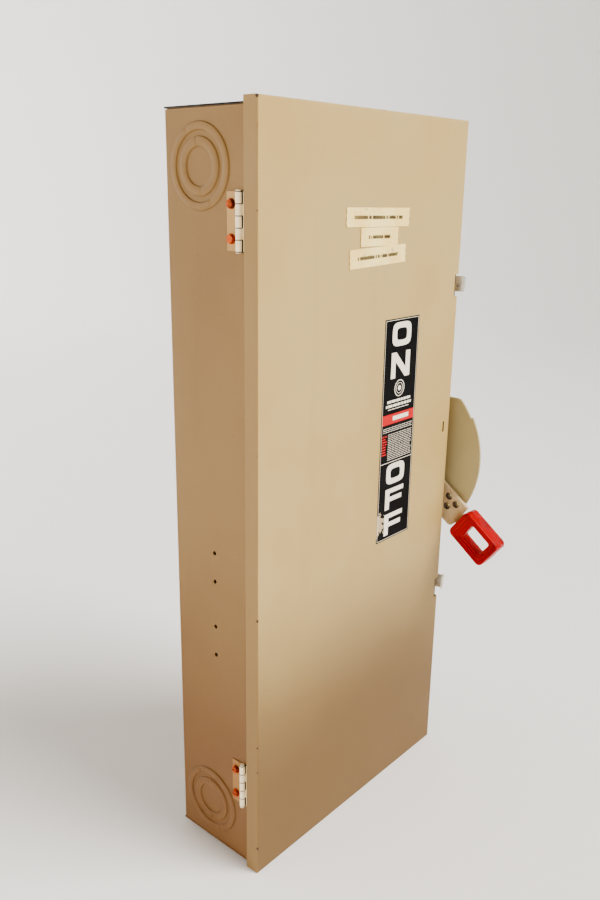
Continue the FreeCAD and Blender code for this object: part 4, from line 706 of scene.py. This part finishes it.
tube = Finish("fuse_tube", roughness=0.45)
tube.wire("Base Color", tube.blend(tube.noise(500.0, 3.0, (1.0, 1.0, 4.0)),
                                   (0.50, 0.44, 0.30), (0.62, 0.55, 0.40)))
tube.relief(tube.noise(900.0, 2.0, (1.0, 1.0, 6.0)), 0.00004)
cap_metal = plated("fuse_caps", (0.83, 0.62, 0.36), (0.56, 0.36, 0.18), 0.28).material
band_paper = Finish("fuse_band_paper", roughness=0.6)
band_paper.wire("Base Color", band_paper.blend(band_paper.rise(band_paper.noise(90.0, 5.0), .4, .7),
                                               (0.20, 0.30, 0.42), (0.15, 0.23, 0.33)))
band_paper.relief(band_paper.noise(900.0), 0.00003)


def fuse_band(letter):
    """A paper sleeve: radius = tube + gap, its overlap seam a small step that runs down the back."""
    low, high = (Vector(corner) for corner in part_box(f"fuse_barrel_{letter}"))
    middle_x, middle_y = (low.x + high.x) / 2, (low.y + high.y) / 2
    radius = (high.x - low.x) / 2
    angle = np.linspace(0, 2 * np.pi, 73)[:-1]
    level = np.linspace(low.z + 0.012, high.z - 0.012, 2)
    thickness = 0.00012 + 0.00012 * (np.abs(angle - np.pi / 2) < 0.2)
    skin = radius + thickness
    rings = []
    for wall, heights in ((radius - 0.0001, level[:1]), (skin, level), (radius - 0.0001, level[1:])):
        for height in heights:
            ring = np.stack([middle_x + wall * np.cos(angle), middle_y + wall * np.sin(angle),
                             np.full_like(angle, height)], -1)
            rings.append(ring)
    rings = np.stack(rings)
    surface(f"fuse_band_{letter}", rings, grid_faces(*rings.shape[:2], close_columns=True),
            band_paper.material, f"fuse_{letter}")
    lines = []
    order = np.random.default_rng(40)
    for n in range(9):
        place = -0.0115
        while place < 0.0105:
            end = min(0.0115, place + order.uniform(0.003, 0.008))
            across = np.linspace(place, end, 4)
            depth = middle_y - np.sqrt((radius + 0.00026) ** 2 - across**2)
            height = level[1] - 0.008 - 0.0055 * n
            strip = [np.stack([middle_x + across, depth, np.full(4, height - down)], -1)
                     for down in (0.0, 0.0016)]
            lines.append(np.stack(strip))
            place = end + 0.0011
    points = np.concatenate([line.reshape(-1, 3) for line in lines])
    faces = np.concatenate([grid_faces(2, 4, start=8 * n)[:, ::-1] for n in range(len(lines))])
    surface(f"fuse_print_{letter}", points, faces, white_ink, f"fuse_{letter}")
    coat(tube.material, f"fuse_barrel_{letter}")
    coat(cap_metal, f"fuse_ends_{letter}")


for letter in "abc":
    fuse_band(letter)

# ------------------------------------------------------------------ mechanism and panel
# Pressed and zinc-plated steel: the mechanism's side plates, crank, spring guide and interlock
# lever, and the pan and hardware that hold the switch in its box.

dull_zinc = plated("dull_zinc", (0.66, 0.66, 0.62), (0.46, 0.45, 0.42), 0.40).material
coat(dull_zinc, "mechanism_frame", "mounting_pan", "arc_plates")
coat(bright_zinc, "mechanism_pins", "crank", "drive_arm", "drive_screws", "spring_guide",
     "interlock_lever", "interlock_tongue", "pan_studs", "inner_screws", "blade_pivots")

# ------------------------------------------------------------------ floor, light and camera
# A pale studio floor whose rim curves up into a backdrop all round, broad soft light from the
# front right, a small warm lamp at the front left that rakes along the side, and the camera, whose
# film has a little more contrast than the plain one.

floor_z = door_low.z - 0.0005
flat_radius, rim_radius, rim_rise = 3.4, 6.2, 5.2


def studio_bowl():
    """A dish: level to the flat radius, then rising as w^2 (2 - w), w from 0 to 1 at the rim."""
    radius = np.concatenate([[0.02], np.linspace(1.2, flat_radius, 3),
                             np.linspace(flat_radius + 0.1, rim_radius, 28)])
    w = np.clip((radius - flat_radius) / (rim_radius - flat_radius), 0, 1)
    angle = np.linspace(0, 2 * np.pi, 96, endpoint=False)
    level = floor_z + rim_rise * w**2 * (2 - w)
    return np.stack([radius[:, None] * np.cos(angle), radius[:, None] * np.sin(angle),
                     np.repeat(level[:, None], 96, 1)], -1)


bowl = studio_bowl()
bowl_faces = grid_faces(*bowl.shape[:2], close_columns=True)[:, ::-1]
floor_mesh = bpy.data.meshes.new("floor")
floor_mesh.from_pydata(bowl.reshape(-1, 3), [], bowl_faces.tolist() + [list(range(96))])
floor_mesh.shade_smooth()
floor = bpy.data.objects.new("floor", floor_mesh)
bpy.context.scene.collection.objects.link(floor)
pale = Finish("pale_floor", roughness=0.8)
pale.wire("Base Color", pale.blend(pale.noise(3.0), (0.93, 0.93, 0.925), (0.95, 0.95, 0.945)))
floor_mesh.materials.append(pale.material)

world = bpy.data.worlds.new("studio")
world.use_nodes = True
world.node_tree.nodes["Background"].inputs["Color"].default_value = (1.0, 0.93, 0.84, 1.0)
world.node_tree.nodes["Background"].inputs["Strength"].default_value = 0.30
bpy.context.scene.world = world
bpy.context.scene.view_settings.look = "AgX - Medium High Contrast"


def soft_light(name, kind, place, target, size, power, colour):
    """An area lamp, or a broad sun whose size is its angle, aimed from a place at a target."""
    light = bpy.data.lights.new(name, kind)
    light.energy = power
    light.color = colour
    if kind == "SUN":
        light.angle = size
    else:
        light.size = size
    lamp = bpy.data.objects.new(name, light)
    aim = (Vector(target) - Vector(place)).to_track_quat("-Z", "Y").to_matrix().to_4x4()
    lamp.matrix_world = Matrix.Translation(place) @ aim
    bpy.context.scene.collection.objects.link(lamp)


soft_light("sky_light", "SUN", (1.1, -2.3, 2.6), (0, 0, 0), 0.6, 3.9, (1.0, 0.98, 0.94))
soft_light("front_light", "AREA", (1.1, -2.3, 1.5), (0, 0, 0.1), 1.5, 30, (1.0, 0.98, 0.93))
soft_light("left_light", "AREA", (-2.1, -1.5, 0.6), (-0.16, -0.05, 0), 0.4, 11, (1.0, 0.62, 0.32))

eye = Vector((-0.7078, -0.6447, 0.3208))
heading, slope, roll = (math.radians(angle) for angle in (48.88, -17.10, 0.864))
ahead = Vector((math.sin(heading) * math.cos(slope), math.cos(heading) * math.cos(slope),
                math.sin(slope)))
level_right = Vector((math.cos(heading), -math.sin(heading), 0.0))
level_up = level_right.cross(ahead)
right = level_right * math.cos(roll) + level_up * math.sin(roll)
upward = level_up * math.cos(roll) - level_right * math.sin(roll)
lens = bpy.data.cameras.new("camera")
lens.lens = 34.05
lens.sensor_width = 36.0
camera = bpy.data.objects.new("camera", lens)
camera.matrix_world = Matrix.Translation(eye) @ Matrix((right, upward, -ahead)).transposed().to_4x4()
bpy.context.scene.collection.objects.link(camera)
bpy.context.scene.camera = camera
